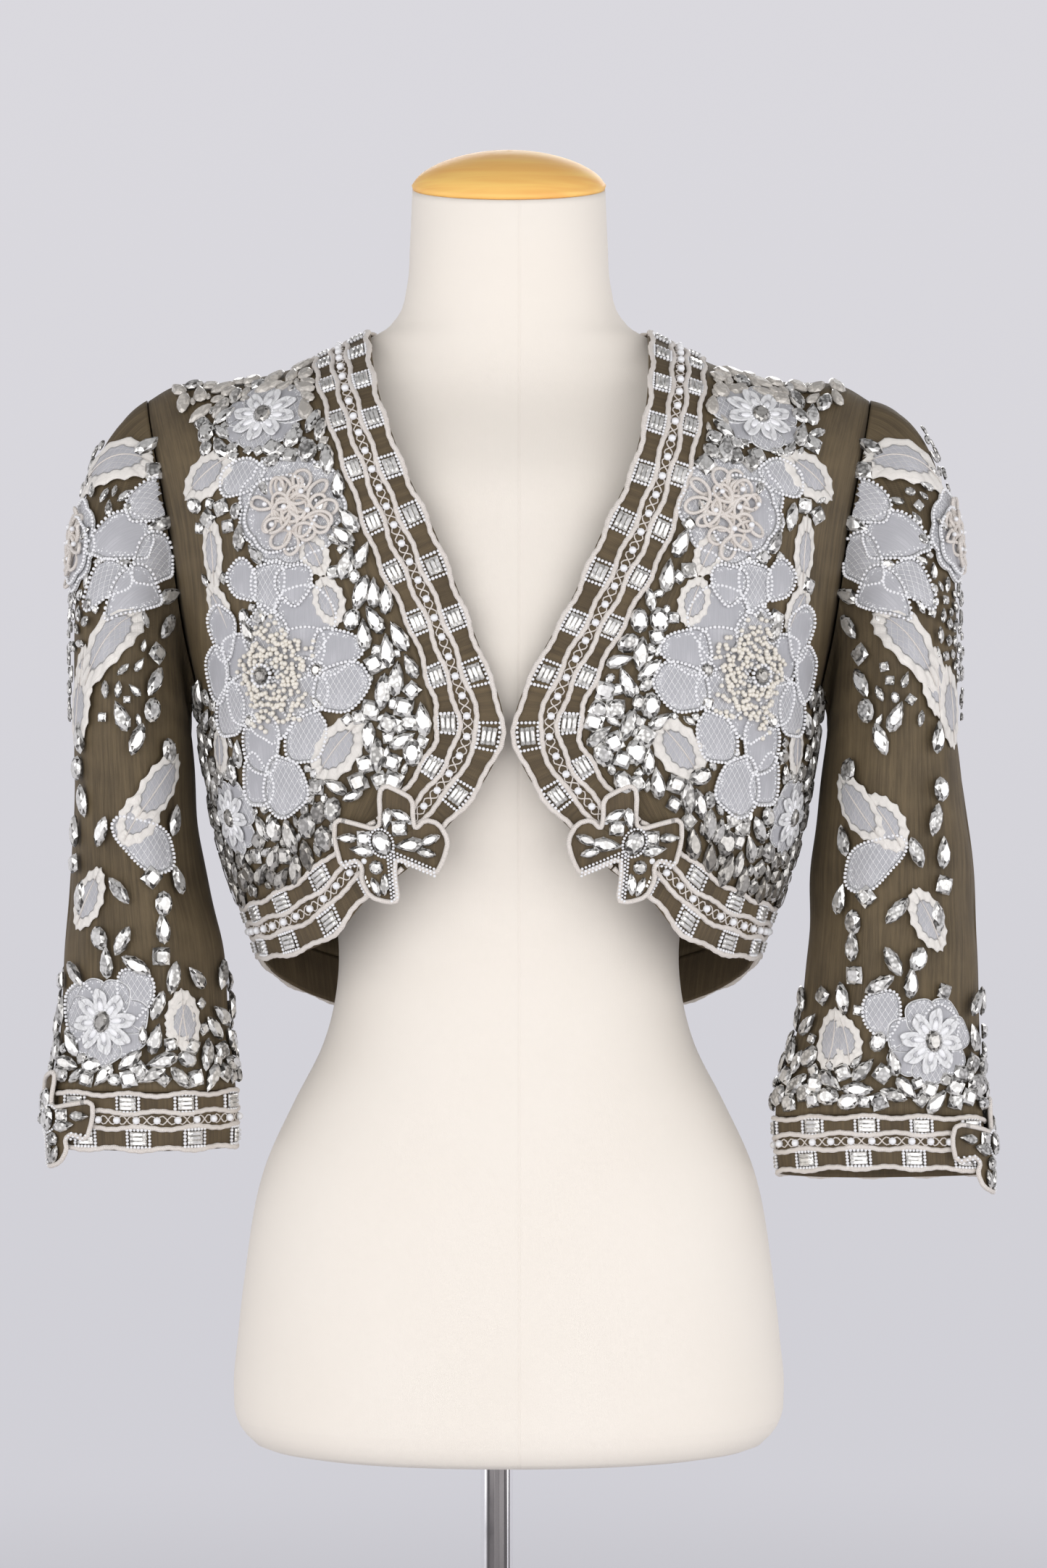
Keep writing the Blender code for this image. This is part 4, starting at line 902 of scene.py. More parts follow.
def ball(sides=6, rings=2):
    """A bead: rings of points between two poles."""
    lean = np.arange(1, rings + 1) * math.pi / (rings + 1)
    turn = turns(sides)
    around = np.stack([np.sin(lean)[:, None] * np.cos(turn), np.sin(lean)[:, None] * np.sin(turn),
                       np.cos(lean)[:, None] + 0 * turn], -1).reshape(-1, 3)
    count = rings * sides
    top = np.stack([np.full(sides, count), np.arange(sides), np.roll(np.arange(sides), -1)], -1)
    low = np.stack([np.full(sides, count + 1), np.roll(np.arange(sides), -1), np.arange(sides)], -1)
    low[:, 1:] += count - sides
    points = np.concatenate([around, [(0, 0, 1), (0, 0, -1)]])
    return points, np.concatenate([cells(rings, sides, around=True)[:, ::-1], top, low])


def stone_outline(kind, turn):
    """The rim of a stone of half width and half length 1, at turns from its far tip."""
    x, y = np.sin(turn), np.cos(turn)
    if kind == "navette":
        return x * np.abs(x) ** 0.45, y
    if kind == "drop":
        return x * np.clip((1.06 - y) / 1.35, 0, 1) ** 0.5, y
    if kind in ("square", "baguette"):
        size = (np.abs(x) ** 9 + np.abs(y) ** 9) ** (-1 / 9)
        return x * size, y * size
    return x, y


def stone(kind, sides):
    """A cut stone: rims at four heights, each turned half a step from the last above the girdle."""
    rings = []
    for share, height, step in STONE_LEVELS:
        turn = (np.arange(sides) + step / 2) * 2 * math.pi / sides
        x, y = stone_outline(kind, turn)
        rings.append(np.stack([x * share, y * share, height + 0 * x], axis=-1))
    index = np.arange(4 * sides).reshape(4, sides)
    after = np.roll(index, -1, axis=1)
    zigzag = [np.stack([index[row], after[row], index[row + 1]], -1) for row in (1, 2)]
    zigzag += [np.stack([index[row + 1], after[row], after[row + 1]], -1) for row in (1, 2)]
    end = fan(sides)[:, [0, 2, 1]]
    part = outward({"points": np.concatenate(rings), "triangles": np.concatenate(
        [cells(2, sides, around=True), *zigzag, end + 3 * sides, end[:, ::-1]])})
    return part["points"], part["triangles"]


def cut_stones(kind, places, frames, sizes, tints, seed=1):
    """Cut stones at their places. Their facets each have corners of their own and carry a painted
    brightness, painted light and shade for what they would reflect, mostly near dark or near bright; the
    lower walls are painted darker as shade at the rim, and the flat top is even."""
    sides = 8 if kind in ("square", "baguette") else 10
    part = scatter(stone(kind, sides), places, frames, sizes, tints, soft=False)
    walls, top = np.arange(1, sides + 1), np.zeros(sides - 2, int)
    facets = np.concatenate([walls, walls, sides + np.arange(1, 4 * sides + 1), top, top])
    # Painted light and shade: a brightness for each facet, near dark or near bright as reflections would
    # fall, with the lower walls painted darker
    bright = np.random.default_rng(seed + len(places)).uniform(-1, 1, (len(places), 5 * sides + 1))
    bright = np.clip(0.74 + 0.60 * np.sign(bright) * np.abs(bright) ** 0.8, 0, 1)
    bright[:, 0] = 0.42 + 0.50 * bright[:, 0]
    bright[:, 1:sides + 1] *= 0.4
    if kind == "baguette":
        bright = 0.55 + 0.45 * bright
    corners = part["triangles"].reshape(-1)
    return {"points": part["points"][corners], "triangles": np.arange(len(corners)).reshape(-1, 3),
            "tint": part["tint"][corners], "facet": np.repeat(bright[:, facets].reshape(-1), 3),
            "soft": False}


def feed(tree, node, inputs):
    """Give a node its inputs: each is a value or another node's output."""
    for socket, value in inputs.items():
        if isinstance(value, bpy.types.NodeSocket):
            tree.links.new(value, node.inputs[socket])
        else:
            node.inputs[socket].default_value = value


def add(tree, kind, inputs=None, **settings):
    """A node with its settings and its inputs."""
    node = tree.nodes.new(kind)
    for name, value in settings.items():
        setattr(node, name, value)
    feed(tree, node, inputs or {})
    return node


def maths(tree, operation, *values):
    """A Math node's output."""
    return add(tree, "ShaderNodeMath", dict(enumerate(values)), operation=operation).outputs[0]


def plus(tree, first, second):
    """The sum of two values."""
    return maths(tree, "ADD", first, second)


def less(tree, first, second):
    """The first value less the second."""
    return maths(tree, "SUBTRACT", first, second)


def times(tree, first, second):
    """The product of two values."""
    return maths(tree, "MULTIPLY", first, second)


def between(tree, value, low, high, to_low=0.0, to_high=1.0):
    """A value moved from one range to another, eased and clamped."""
    ranges = {"Value": value, "From Min": low, "From Max": high, "To Min": to_low, "To Max": to_high}
    return add(tree, "ShaderNodeMapRange", ranges, interpolation_type="SMOOTHSTEP").outputs[0]


def blend(tree, share, first, second):
    """Two colours mixed by a share."""
    return add(tree, "ShaderNodeMix", {0: share, 6: first, 7: second}, data_type="RGBA").outputs[2]


def own_uv(tree, layer="cloth"):
    """A point's own flat place: metres on its cloth, or its place on the rim layer."""
    return add(tree, "ShaderNodeUVMap", uv_map=layer).outputs[0]


def own_place(tree):
    """A point's place on its object."""
    return add(tree, "ShaderNodeTexCoord").outputs["Object"]


def attribute(tree, name):
    """A value that each point carries."""
    return add(tree, "ShaderNodeAttribute", attribute_name=name).outputs["Fac"]


def axes_of(tree, place):
    """A place's three numbers."""
    return add(tree, "ShaderNodeSeparateXYZ", {0: place}).outputs


def stretched(tree, place, scale):
    """A place stretched along its axes."""
    return add(tree, "ShaderNodeMapping", {"Vector": place, "Scale": scale}).outputs[0]


def noise(tree, place, scale, detail, **more):
    """Soft noise over a place."""
    inputs = {"Vector": place, "Scale": scale, "Detail": detail, **more}
    return add(tree, "ShaderNodeTexNoise", inputs).outputs[0]


def speckle(tree, place, scale):
    """How far a place lies from the nearest of many scattered points."""
    node = add(tree, "ShaderNodeTexVoronoi", {"Vector": place, "Scale": scale}, feature="F1")
    return node.outputs["Distance"]


def bump(tree, height, distance, strength=1.0):
    """The normal of a surface raised by a height."""
    inputs = {"Height": height, "Distance": distance, "Strength": strength}
    return add(tree, "ShaderNodeBump", inputs).outputs[0]


def new_group(name, inputs, outputs):
    """An empty node group of number sockets, what it is given, and its output node."""
    group = bpy.data.node_groups.new(name, "ShaderNodeTree")
    for way, labels in (("INPUT", inputs), ("OUTPUT", outputs)):
        for label in labels:
            group.interface.new_socket(label, in_out=way, socket_type="NodeSocketFloat")
    return group, group.nodes.new("NodeGroupInput").outputs, group.nodes.new("NodeGroupOutput")


def used(tree, group, inputs):
    """A group node's outputs in a material."""
    return add(tree, "ShaderNodeGroup", inputs, node_tree=bpy.data.node_groups[group]).outputs


def weave_group():
    """Fine cloth: crossed threads by their own UV in metres, with slubs and slow shade changes."""
    group, given, made = new_group("fine_weave", ("Threads", "Slub"), ("Height", "Shade"))
    flat = own_uv(group)
    parts = axes_of(group, flat)
    waves = [maths(group, "SINE", times(group, part, given["Threads"])) for part in (parts[0], parts[1])]
    slub = noise(group, stretched(group, flat, SLUB_STRETCH), 1.0, 3.0)
    cloud = noise(group, flat, 28.0, 4.0)
    slubs = times(group, less(group, slub, 0.5), given["Slub"])
    height = plus(group, times(group, times(group, *waves), 0.5), slubs)
    shade = plus(group, times(group, height, 0.45), times(group, cloud, 0.55))
    feed(group, made, {"Height": height, "Shade": shade})


def stitch_group():
    """A trim's own pattern: satin stitches round its rim, and crossed lattice threads inside.

    The rim layer holds metres round the rim and the share out from the middle; the stitched
    share says where the satin begins. The lattice is two slanting rows of thin lines, and
    small dots frost the cloth next to the rim.
    """
    group, given, made = new_group("stitches", ("Satin From", "Lattice"), ("White", "Height"))
    rim = axes_of(group, own_uv(group, "rim"))
    grain = noise(group, own_uv(group, "rim"), 520.0, 2.0)
    edge = plus(group, rim[1], times(group, less(group, grain, 0.5), 0.20))
    satin = between(group, less(group, edge, given["Satin From"]), -0.02, 0.02)
    ribs = maths(group, "SINE", times(group, rim[0], SATIN_RIBS))
    flat = axes_of(group, own_uv(group))
    lines = []
    for slant in (LATTICE_SLANT, -LATTICE_SLANT):
        along = plus(group, flat[0], times(group, flat[1], slant))
        wave = maths(group, "ABSOLUTE", maths(group, "SINE", times(group, along, LATTICE_LINES)))
        lines.append(between(group, wave, 0.20, 0.10))
    lattice = times(group, maths(group, "MAXIMUM", *lines), given["Lattice"])
    dots = between(group, speckle(group, own_uv(group), 620.0), 0.42, 0.22)
    by_rim = between(group, plus(group, rim[1], times(group, grain, 0.3)), 0.80, 0.95)
    white = maths(group, "MAXIMUM", maths(group, "MAXIMUM", satin, lattice), times(group, dots, by_rim))
    ribbed = plus(group, 1.2, times(group, ribs, 0.22))
    feed(group, made, {"White": white, "Height": plus(group, times(group, satin, ribbed), lattice)})


def new_material(name):
    """A new material's tree and its Principled shader."""
    material = bpy.data.materials.new("look_" + name)
    material.use_nodes = True
    return material.node_tree, material.node_tree.nodes["Principled BSDF"]


def silk_material(name, dark, light, crinkle):
    """Dull silk: woven threads, slow changes of shade, long streaks that are partly painted fold shade, and
    a soft sheen.
    """
    tree, shader = new_material(name)
    weave = used(tree, "fine_weave", {"Threads": SILK_THREADS, "Slub": 0.8})
    flat = own_uv(tree)
    # Long streaks in the colour: partly streaks of the sheer cloth, partly painted shade of long folds
    streak_and_fold_shade = noise(tree, stretched(tree, flat, STREAK_STRETCH), 1.0, 5.0, Roughness=0.62)
    shade = plus(tree, weave["Shade"], times(tree, less(tree, streak_and_fold_shade, 0.5), 0.75))
    fold = noise(tree, stretched(tree, flat, CRINKLE_STRETCH), 1.0, 4.0)
    height = plus(tree, weave["Height"], times(tree, fold, crinkle))
    feed(tree, shader, {
        "Base Color": blend(tree, between(tree, shade, 0.0, 0.58), dark, light), "Roughness": 0.66,
        "Sheen Weight": 0.04, "Sheen Roughness": 0.4, "Sheen Tint": (0.75, 0.66, 0.52, 1),
        "Normal": bump(tree, height, 0.00012)})


def organza_material():
    """Stiff pale organza with white satin stitches and lattice threads where a trim carries them."""
    tree, shader = new_material("organza")
    weave = used(tree, "fine_weave", {"Threads": ORGANZA_THREADS, "Slub": 1.2})
    stitches = used(tree, "stitches", {"Satin From": attribute(tree, "satin_from"),
                                       "Lattice": attribute(tree, "lattice")})
    share = between(tree, weave["Shade"], 0.2, 0.8)
    cloth = blend(tree, share, (0.40, 0.40, 0.42, 1), (0.73, 0.72, 0.745, 1))
    white = blend(tree, attribute(tree, "tint"), (0.92, 0.92, 0.92, 1), (0.90, 0.86, 0.80, 1))
    height = plus(tree, times(tree, weave["Height"], 0.2), stitches["Height"])
    feed(tree, shader, {"Base Color": blend(tree, stitches["White"], cloth, white), "Roughness": 0.55,
                        "Sheen Weight": 0.15, "Normal": bump(tree, height, 0.00030)})


def cord_material():
    """Ivory cord: threads wound round it, a little uneven in colour."""
    tree, shader = new_material("cord")
    flat = axes_of(tree, own_uv(tree))
    twist = plus(tree, times(tree, flat[0], 5200.0), times(tree, flat[1], 2600.0))
    cloud = noise(tree, own_place(tree), 90.0, 3.0)
    feed(tree, shader, {
        "Base Color": blend(tree, cloud, (0.66, 0.60, 0.54, 1), (0.83, 0.78, 0.73, 1)), "Roughness": 0.7,
        "Sheen Weight": 0.2, "Normal": bump(tree, maths(tree, "SINE", twist), 0.00010)})


def bead_material():
    """Glossy beads, from cream to white by what each one carries."""
    tree, shader = new_material("beads")
    colour = blend(tree, attribute(tree, "tint"), (0.80, 0.755, 0.67, 1), (0.86, 0.86, 0.87, 1))
    feed(tree, shader, {"Base Color": colour, "Roughness": 0.22, "Coat Weight": 0.4})


def crystal_material():
    """Foil-backed crystal: mirror facets with painted light and shade and painted glints, from smoky to
    clear and milky by what each carries.
    """
    tree, shader = new_material("crystal")
    tint = attribute(tree, "tint")
    # Painted light: each facet's carried brightness, plus painted glints that lighten near scattered points
    # and darken between them
    painted_glint = between(tree, speckle(tree, own_place(tree), 420.0), 0.2, 0.7, 0.12, -0.22)
    facet = plus(tree, attribute(tree, "facet"), painted_glint)
    milky = between(tree, tint, *MILKY_TINTS)
    facet = maths(tree, "MAXIMUM", facet, times(tree, milky, 0.6))
    clear = blend(tree, tint, (0.27, 0.245, 0.21, 1), (0.96, 0.95, 0.92, 1))
    clear = blend(tree, milky, clear, (0.66, 0.62, 0.56, 1))
    feed(tree, shader, {
        "Base Color": blend(tree, between(tree, facet, 0.0, 1.0), (0.060, 0.055, 0.048, 1), clear),
        "Roughness": between(tree, tint, *MILKY_TINTS, 0.06, 0.26), "Coat Weight": 0.45,
        "Metallic": between(tree, tint, *MILKY_TINTS, 0.55, 0.15), "Coat Roughness": 0.03})


def canvas_material():
    """Cream jersey stretched over the torso, with a thin seam down its middle."""
    tree, shader = new_material("canvas")
    place = own_place(tree)
    weave = used(tree, "fine_weave", {"Threads": JERSEY_THREADS, "Slub": 1.0})
    off = maths(tree, "ABSOLUTE", less(tree, axes_of(tree, place)[0], SEAM_OUT))
    seam = between(tree, off, *SEAM_EDGES)
    cream = blend(tree, noise(tree, place, 9.0, 3.0), (0.85, 0.785, 0.695, 1), (0.89, 0.835, 0.755, 1))
    height = less(tree, times(tree, weave["Height"], 0.3), seam)
    feed(tree, shader, {
        "Base Color": blend(tree, times(tree, seam, 0.08), cream, (0.70, 0.62, 0.52, 1)),
        "Roughness": 0.85, "Sheen Weight": 0.10, "Normal": bump(tree, height, 0.00015)})


def wood_material():
    """Lacquered pale wood with rings of grain seen from the side."""
    tree, shader = new_material("wood")
    grain = noise(tree, stretched(tree, own_place(tree), GRAIN_STRETCH), 3.0, 6.0, Distortion=0.5)
    share = between(tree, grain, 0.32, 0.70)
    feed(tree, shader, {
        "Base Color": blend(tree, share, (0.94, 0.50, 0.135, 1), (1.0, 0.63, 0.18, 1)),
        "Roughness": 0.5, "Specular IOR Level": 0.35, "Coat Weight": 0.12, "Coat Roughness": 0.2,
        "Normal": bump(tree, grain, 0.0001, 0.3)})


def chrome_material():
    """Polished chrome: a faint unevenness, and painted reflections as upright dark and bright bands round
    the pole.
    """
    tree, shader = new_material("chrome")
    place = own_place(tree)
    axes = axes_of(tree, place)
    # Painted reflections: dark and bright bands by the turn round the pole, kept off the foot
    turn = maths(tree, "ARCTAN2", less(tree, axes[1], STAND_OUT), axes[0])
    broad, narrow = [maths(tree, "SINE", times(tree, turn, count)) for count in (3.0, 7.0)]
    share = between(tree, plus(tree, broad, times(tree, narrow, 0.6)), -0.6, 0.25)
    bands = blend(tree, share, (0.15, 0.14, 0.14, 1), (0.97, 0.96, 0.97, 1))
    on_pole = between(tree, axes[2], BASE_HEIGHT + 0.001, BASE_HEIGHT + 0.004)
    feed(tree, shader, {
        "Base Color": blend(tree, on_pole, (0.58, 0.57, 0.58, 1), bands), "Metallic": 1.0,
        "Roughness": between(tree, noise(tree, place, 40.0, 4.0), 0.3, 0.7, 0.07, 0.16)})


def petal_outline(length, width, count=40, phase=0.0, point=0.0):
    """A petal's rim: an uneven oval, broader towards its far end, and pointed there if asked."""
    turn = turns(count)
    far = np.cos(turn)
    uneven = 1 + 0.055 * np.sin(3 * turn + phase) + 0.035 * np.sin(5 * turn + 2 * phase)
    tip = 1 - point * np.clip(far, 0, 1) ** 3
    return uneven * np.stack([length / 2 * far, width / 2 * np.sin(turn) * (1 + 0.22 * far) * tip])


def leaf_outline(length, width, count=84):
    """A pointed leaf's rim with sharp teeth: two bows that meet at its ends."""
    turn = turns(count)
    bow = np.sin(turn) * np.abs(np.sin(turn)) ** 0.25
    teeth = 1.08 - 0.17 * np.abs(np.sin(7 * turn + 0.35)) ** 0.8
    return np.stack([length / 2 * np.cos(turn) * teeth ** 0.5, width / 2 * bow * teeth])


def scallops(reach, count, depth=0.05, points=96):
    """A round rim whose edge swells out in scallops."""
    turn = turns(points)
    radius = reach * (1 - depth + depth * np.abs(np.sin(count * turn / 2)) * 2)
    return np.stack([radius * np.cos(turn), radius * np.sin(turn)])


def turned_by(flat, degrees, shift=(0.0, 0.0)):
    """A flat outline turned by an angle, then shifted."""
    angle = math.radians(degrees)
    x, y = flat
    return np.stack([x * math.cos(angle) - y * math.sin(angle) + shift[0],
                     x * math.sin(angle) + y * math.cos(angle) + shift[1]])


def spoke(distance, degrees):
    """A flat offset of a distance at an angle."""
    return distance * math.cos(math.radians(degrees)), distance * math.sin(math.radians(degrees))


def spaced(line, pitch, closed=True):
    """Points evenly spaced along a flat line."""
    if closed:
        line = np.concatenate([line, line[:, :1]], axis=1)
    run = run_of(np.hypot(*np.diff(line, axis=1)))
    count = max(3, int(round(run[-1] / pitch)))
    at = np.arange(count) * run[-1] / count if closed else np.linspace(0, run[-1], count)
    return np.stack([np.interp(at, run, axis) for axis in line])


class Trims:
    """One area's trims, gathered by finish and then made into a piece for each finish."""

    def __init__(self, name, ground):
        self.name = name
        self.ground = ground
        self.parts = {}
        self.taken = []
        self.random = np.random.default_rng(len(name) * 7919)
        self.spacing = bpy.context.scene.jacket_look.spacing

    def keep(self, finish, part):
        """Add a part to a finish's pile."""
        self.parts.setdefault(finish, []).append(part)

    def note(self, at, reach):
        """Note a place, in the surface's two numbers, as taken out to a reach."""
        self.taken.append((self.ground.over(np.array(at[0]), np.array(at[1])), reach))
        return at

    def spot(self, out, height, reach):
        """The body's two numbers at a place, noted as taken."""
        return self.note((float(turn_at(out, height)), height), reach)

    def plate(self, middle, outline, lift, tall, satin=0.9, lattice=0.0, finish="organza",
              cup=0.0, ivory=0.0):
        """A trim of stiff cloth: rims shrinking to its middle, raised by tall times one less the
        share squared, with a plain underside. cup lifts the rim instead."""
        shares = np.array(PLATE_SHARES)
        centre = outline.mean(axis=1)
        flat = centre[:, None, None] + (outline - centre[:, None])[:, None, :] * shares[None, :, None]
        height = tall * (1 - shares ** 2) + cup * shares ** 3
        height[1:4] += PLATE_WALL * (shares[1:4] > satin - 0.05)
        raised = lift + PLATE_WALL + height[:, None] + 0 * flat[0]
        points, _ = self.ground.lay(middle, *flat, raised)
        under, _ = self.ground.lay(middle, *outline, lift + cup * 0.7 + 0 * outline[0])
        top, _ = self.ground.lay(middle, centre[:1], centre[1:], np.array([lift + PLATE_WALL + tall]))
        low, _ = self.ground.lay(middle, centre[:1], centre[1:], np.array([lift]))
        rows, count = len(shares), outline.shape[1]
        rim, after = np.arange(count), np.roll(np.arange(count), -1)
        under_at, top_at = rows * count, rows * count + count
        last = (rows - 1) * count
        triangles = np.concatenate([
            cells(rows, count, around=True),
            np.stack([last + rim, last + after, 0 * rim + top_at], -1),
            np.stack([after, rim, under_at + rim], -1),
            np.stack([after, under_at + rim, under_at + after], -1),
            np.stack([under_at + after, under_at + rim, 0 * rim + top_at + 1], -1)])
        run = run_of(np.hypot(*np.diff(outline, axis=1)))
        around = np.broadcast_to(run, (rows, count)).reshape(-1)
        top_rims = np.stack([around, np.repeat(shares, count)], -1)
        part = outward({
            "points": np.concatenate([points.reshape(-1, 3), under, top, low]),
            "triangles": triangles,
            "uv": np.concatenate([flat.reshape(2, -1).T, outline.T, [centre, centre]]),
            "rim": np.concatenate([top_rims, np.stack([run, 0 * run + 1], -1), [(0, 0), (0, 0)]])})
        self.keep(finish, {**part, "tint": ivory, "satin_from": satin, "lattice": lattice})

    def beads(self, middle, flat, lift, radius=SEED_RADIUS, tint=1.0):
        """Beads at flat places about a middle."""
        lifts = np.broadcast_to(lift, flat[0].shape) + radius * 0.7
        points, frames = self.ground.lay(middle, *flat, lifts)
        wobble = self.random.uniform(0.9, 1.1, (len(points), 1))
        shape = ball() if radius < BIG_BEAD else ball(8, 4)
        self.keep("beads", scatter(shape, points, frames, radius * wobble * np.ones(3), tint))

    def chain(self, middle, outline, lift, radius=SEED_RADIUS):
        """A chain of beads along a line."""
        self.beads(middle, spaced(outline, radius * 2.1), lift, radius)

    def cord(self, middle, flat, lift, radius, sides, closed):
        """A cord laid along a flat line."""
        path, frames = self.ground.lay(middle, *flat, lift)
        self.keep("cord", tube(path, frames[:, 2], radius, sides, closed))

    def stones(self, middle, flat, kind, headings, lift, tints, size=1.0):
        """Cut stones at flat places about a middle, their long way at a heading from upright."""
        points, frames = self.ground.lay(middle, *flat, np.broadcast_to(lift, flat[0].shape))
        sizes = np.array(STONES[kind]) * np.reshape(size, (-1, 1))
        seed = int(self.random.integers(9999))
        self.keep("crystal", cut_stones(kind, points, spun(frames, headings), sizes, tints, seed))

    def ringed_stone(self, middle, at, kind, heading, lift, tint=0.8, size=1.0):
        """A stone with a ring of seed beads round it."""
        self.stones(middle, np.array(at, float).reshape(2, 1), kind, [heading - 90], lift, tint, size)
        x, y = stone_outline(kind, turns(48))
        wide, long, _ = STONES[kind]
        ring = np.stack([x * (wide * size + SEED_RADIUS), y * (long * size + SEED_RADIUS)])
        self.chain(middle, turned_by(ring, heading - 90, at), lift + 0.0002)

    def blossom(self, middle, reach):
        """Broad organza petals below, narrow satin-edged petals above, and an oval stone."""
        for index in range(7):
            angle = index * 360 / 7 + 12
            petal = petal_outline(reach * 1.05, reach * 0.92, 40, 2 * index)
            petal = turned_by(petal, angle, spoke(reach * 0.66, angle))
            self.plate(middle, petal, PLATE_WALL * (1 + index % 2), 0.0008, 0.93, index % 2, cup=0.0006)
        for index in range(8):
            angle = index * 45 + 5
            petal = petal_outline(reach * 0.74, reach * 0.39, 28)
            petal = turned_by(petal, angle, spoke(reach * 0.50, angle))
            self.plate(middle, petal, 0.0022, 0.0010, 0.36, 1.0, cup=0.0010)
            spot = turned_by(np.array([[reach * 0.40], [0.0]]), angle)
            points, frames = self.ground.lay(middle, *spot, np.array([0.0036]))
            pad = reach * np.array([0.085, 0.175, 0.05])
            self.keep("beads", scatter(ball(8, 4), points, spun(frames, angle - 90), pad, 1.0))
        self.ringed_stone(middle, (0.0, 0.0), "oval", 70, 0.0030, 0.40, reach / 0.024)

    def rose(self, middle, reach):
        """Round organza layers rimmed with beads, and a tangle of looped cord on top."""
        disc = scallops(reach * 1.02, 9)
        self.plate(middle, disc, PLATE_WALL, 0.0006, 0.95, 1.0)
        self.chain(middle, disc * 0.97, 0.0010, RIM_BEAD)
        inner = turned_by(scallops(reach * 0.70, 6), 20, (reach * 0.14, -reach * 0.10))
        self.plate(middle, inner, 0.0014, 0.0006, 0.94, 0.0, cup=0.0008)
        self.chain(middle, inner * 0.99, 0.0028, RIM_BEAD)
        turn = np.linspace(0, 2 * math.pi, 260, endpoint=False)
        for lobes, big, small, across, up in ROSE_COILS:
            drift = self.random.uniform(0, 2 * math.pi, 4)
            swell = 1 + 0.26 * np.sin(2 * turn + drift[0]) + 0.18 * np.sin(3 * turn + drift[1])
            curl = lobes * turn + 0.9 * np.sin(2 * turn + drift[2]) + 0.5 * np.sin(3 * turn + drift[3])
            flat = reach * np.stack([across + big * swell * np.cos(turn) + small * np.cos(-curl),
                                     up + big * swell * np.sin(turn) + small * np.sin(-curl)])
            weave = 0.0014 * np.sin(lobes * turn * 1.5) + 0.0006 * np.cos(2 * turn)
            self.cord(middle, flat, 0.0034 + weave + 0.0005 * (lobes < 8), LOOP_RADIUS, 6, True)
        self.beads(middle, reach * np.array(ROSE_BEADS).T, 0.0048, 0.0017)
        spots = reach * np.array([(0.50, 0.42), (-0.62, 0.05)]).T
        self.stones(middle, spots, "navette", [-30, 8], 0.0016, 0.8, 0.62)

    def bead_flower(self, middle, reach):
        """Organza petals rimmed with seed beads under a mound of cream beads and dark stones."""
        for index in range(6):
            angle = index * 60 + 25
            petal = petal_outline(reach * 1.04, reach * 0.84, 44, index, 0.5)
            petal = turned_by(petal, angle, spoke(reach * 0.62, angle))
            self.plate(middle, petal, PLATE_WALL * (1 + index % 2), 0.0006, 0.93, index % 2)
            self.chain(middle, petal, 0.0011 + PLATE_WALL * (index % 2), RIM_BEAD)
        turn = np.arange(MOUND_BEADS) * GOLDEN_TURN
        radius = reach * np.sqrt(np.linspace(0.03, 0.62, MOUND_BEADS))
        radius = radius * self.random.uniform(0.80, 1.12, MOUND_BEADS) * (1 + 0.16 * np.sin(5 * turn + 1))
        flat = np.stack([radius * 0.86 * np.cos(turn), radius * 1.12 * np.sin(turn)])
        flat[0] -= 0.08 * reach
        mound = 0.0044 * (1 - (radius / reach) ** 1.5)
        lift = 0.0012 + mound * self.random.uniform(0.45, 1.0, MOUND_BEADS)
        hole = np.hypot(flat[0] - reach * 0.10, flat[1]) > 0.0062
        self.beads(middle, flat[:, hole], lift[hole], 0.00155, 0.0)
        self.chain(middle, turned_by(scallops(0.0064, 8, 0.02, 40), 0, (reach * 0.10, 0)), 0.0046, 0.0013)
        self.stones(middle, np.array([[reach * 0.10], [0.0]]), "round", [0], 0.0040, 0.25)
        for angle, kind in ((62, "drop"), (175, "round"), (-62, "round")):
            self.ringed_stone(middle, spoke(reach * 0.86, angle), kind, angle, 0.0014, 0.55, 0.85)

    def leaf(self, middle, length, width, heading, satin=0.70, layer=0):
        """A leaf with a thick satin-stitched edge, an organza middle and a raised vein."""
        outline = turned_by(leaf_outline(length, width), heading)
        lift = LAYER_STEP * (1 + layer)
        self.plate(middle, outline, lift, 0.0010, satin - 0.14, 0.35, ivory=1.0)
        line = np.stack([np.linspace(-0.42, 0.36, 24) * length,
                         0.05 * width * np.sin(np.linspace(0, 3, 24))])
        vein = turned_by(line, heading)
        taper = THREAD_RADIUS * np.sin(np.linspace(0.3, 2.9, 24))
        self.cord(middle, vein, lift + 0.0014 + 0 * vein[0], taper, 6, False)

    def scale(self, middle, length, width, heading, satin, lattice, layer):
        """A small organza petal: pointed and satin-edged, or rounded and rimmed with seed beads."""
        if satin < LEAF_SATIN:
            self.leaf(middle, length, width, heading, satin, layer)
            return
        outline = turned_by(petal_outline(length, width, 40, 9 * heading), heading)
        lift = LAYER_STEP * (1 + layer)
        self.plate(middle, outline, lift, 0.0007, satin, lattice)
        self.chain(middle, outline, lift + 0.0007, RIM_BEAD)

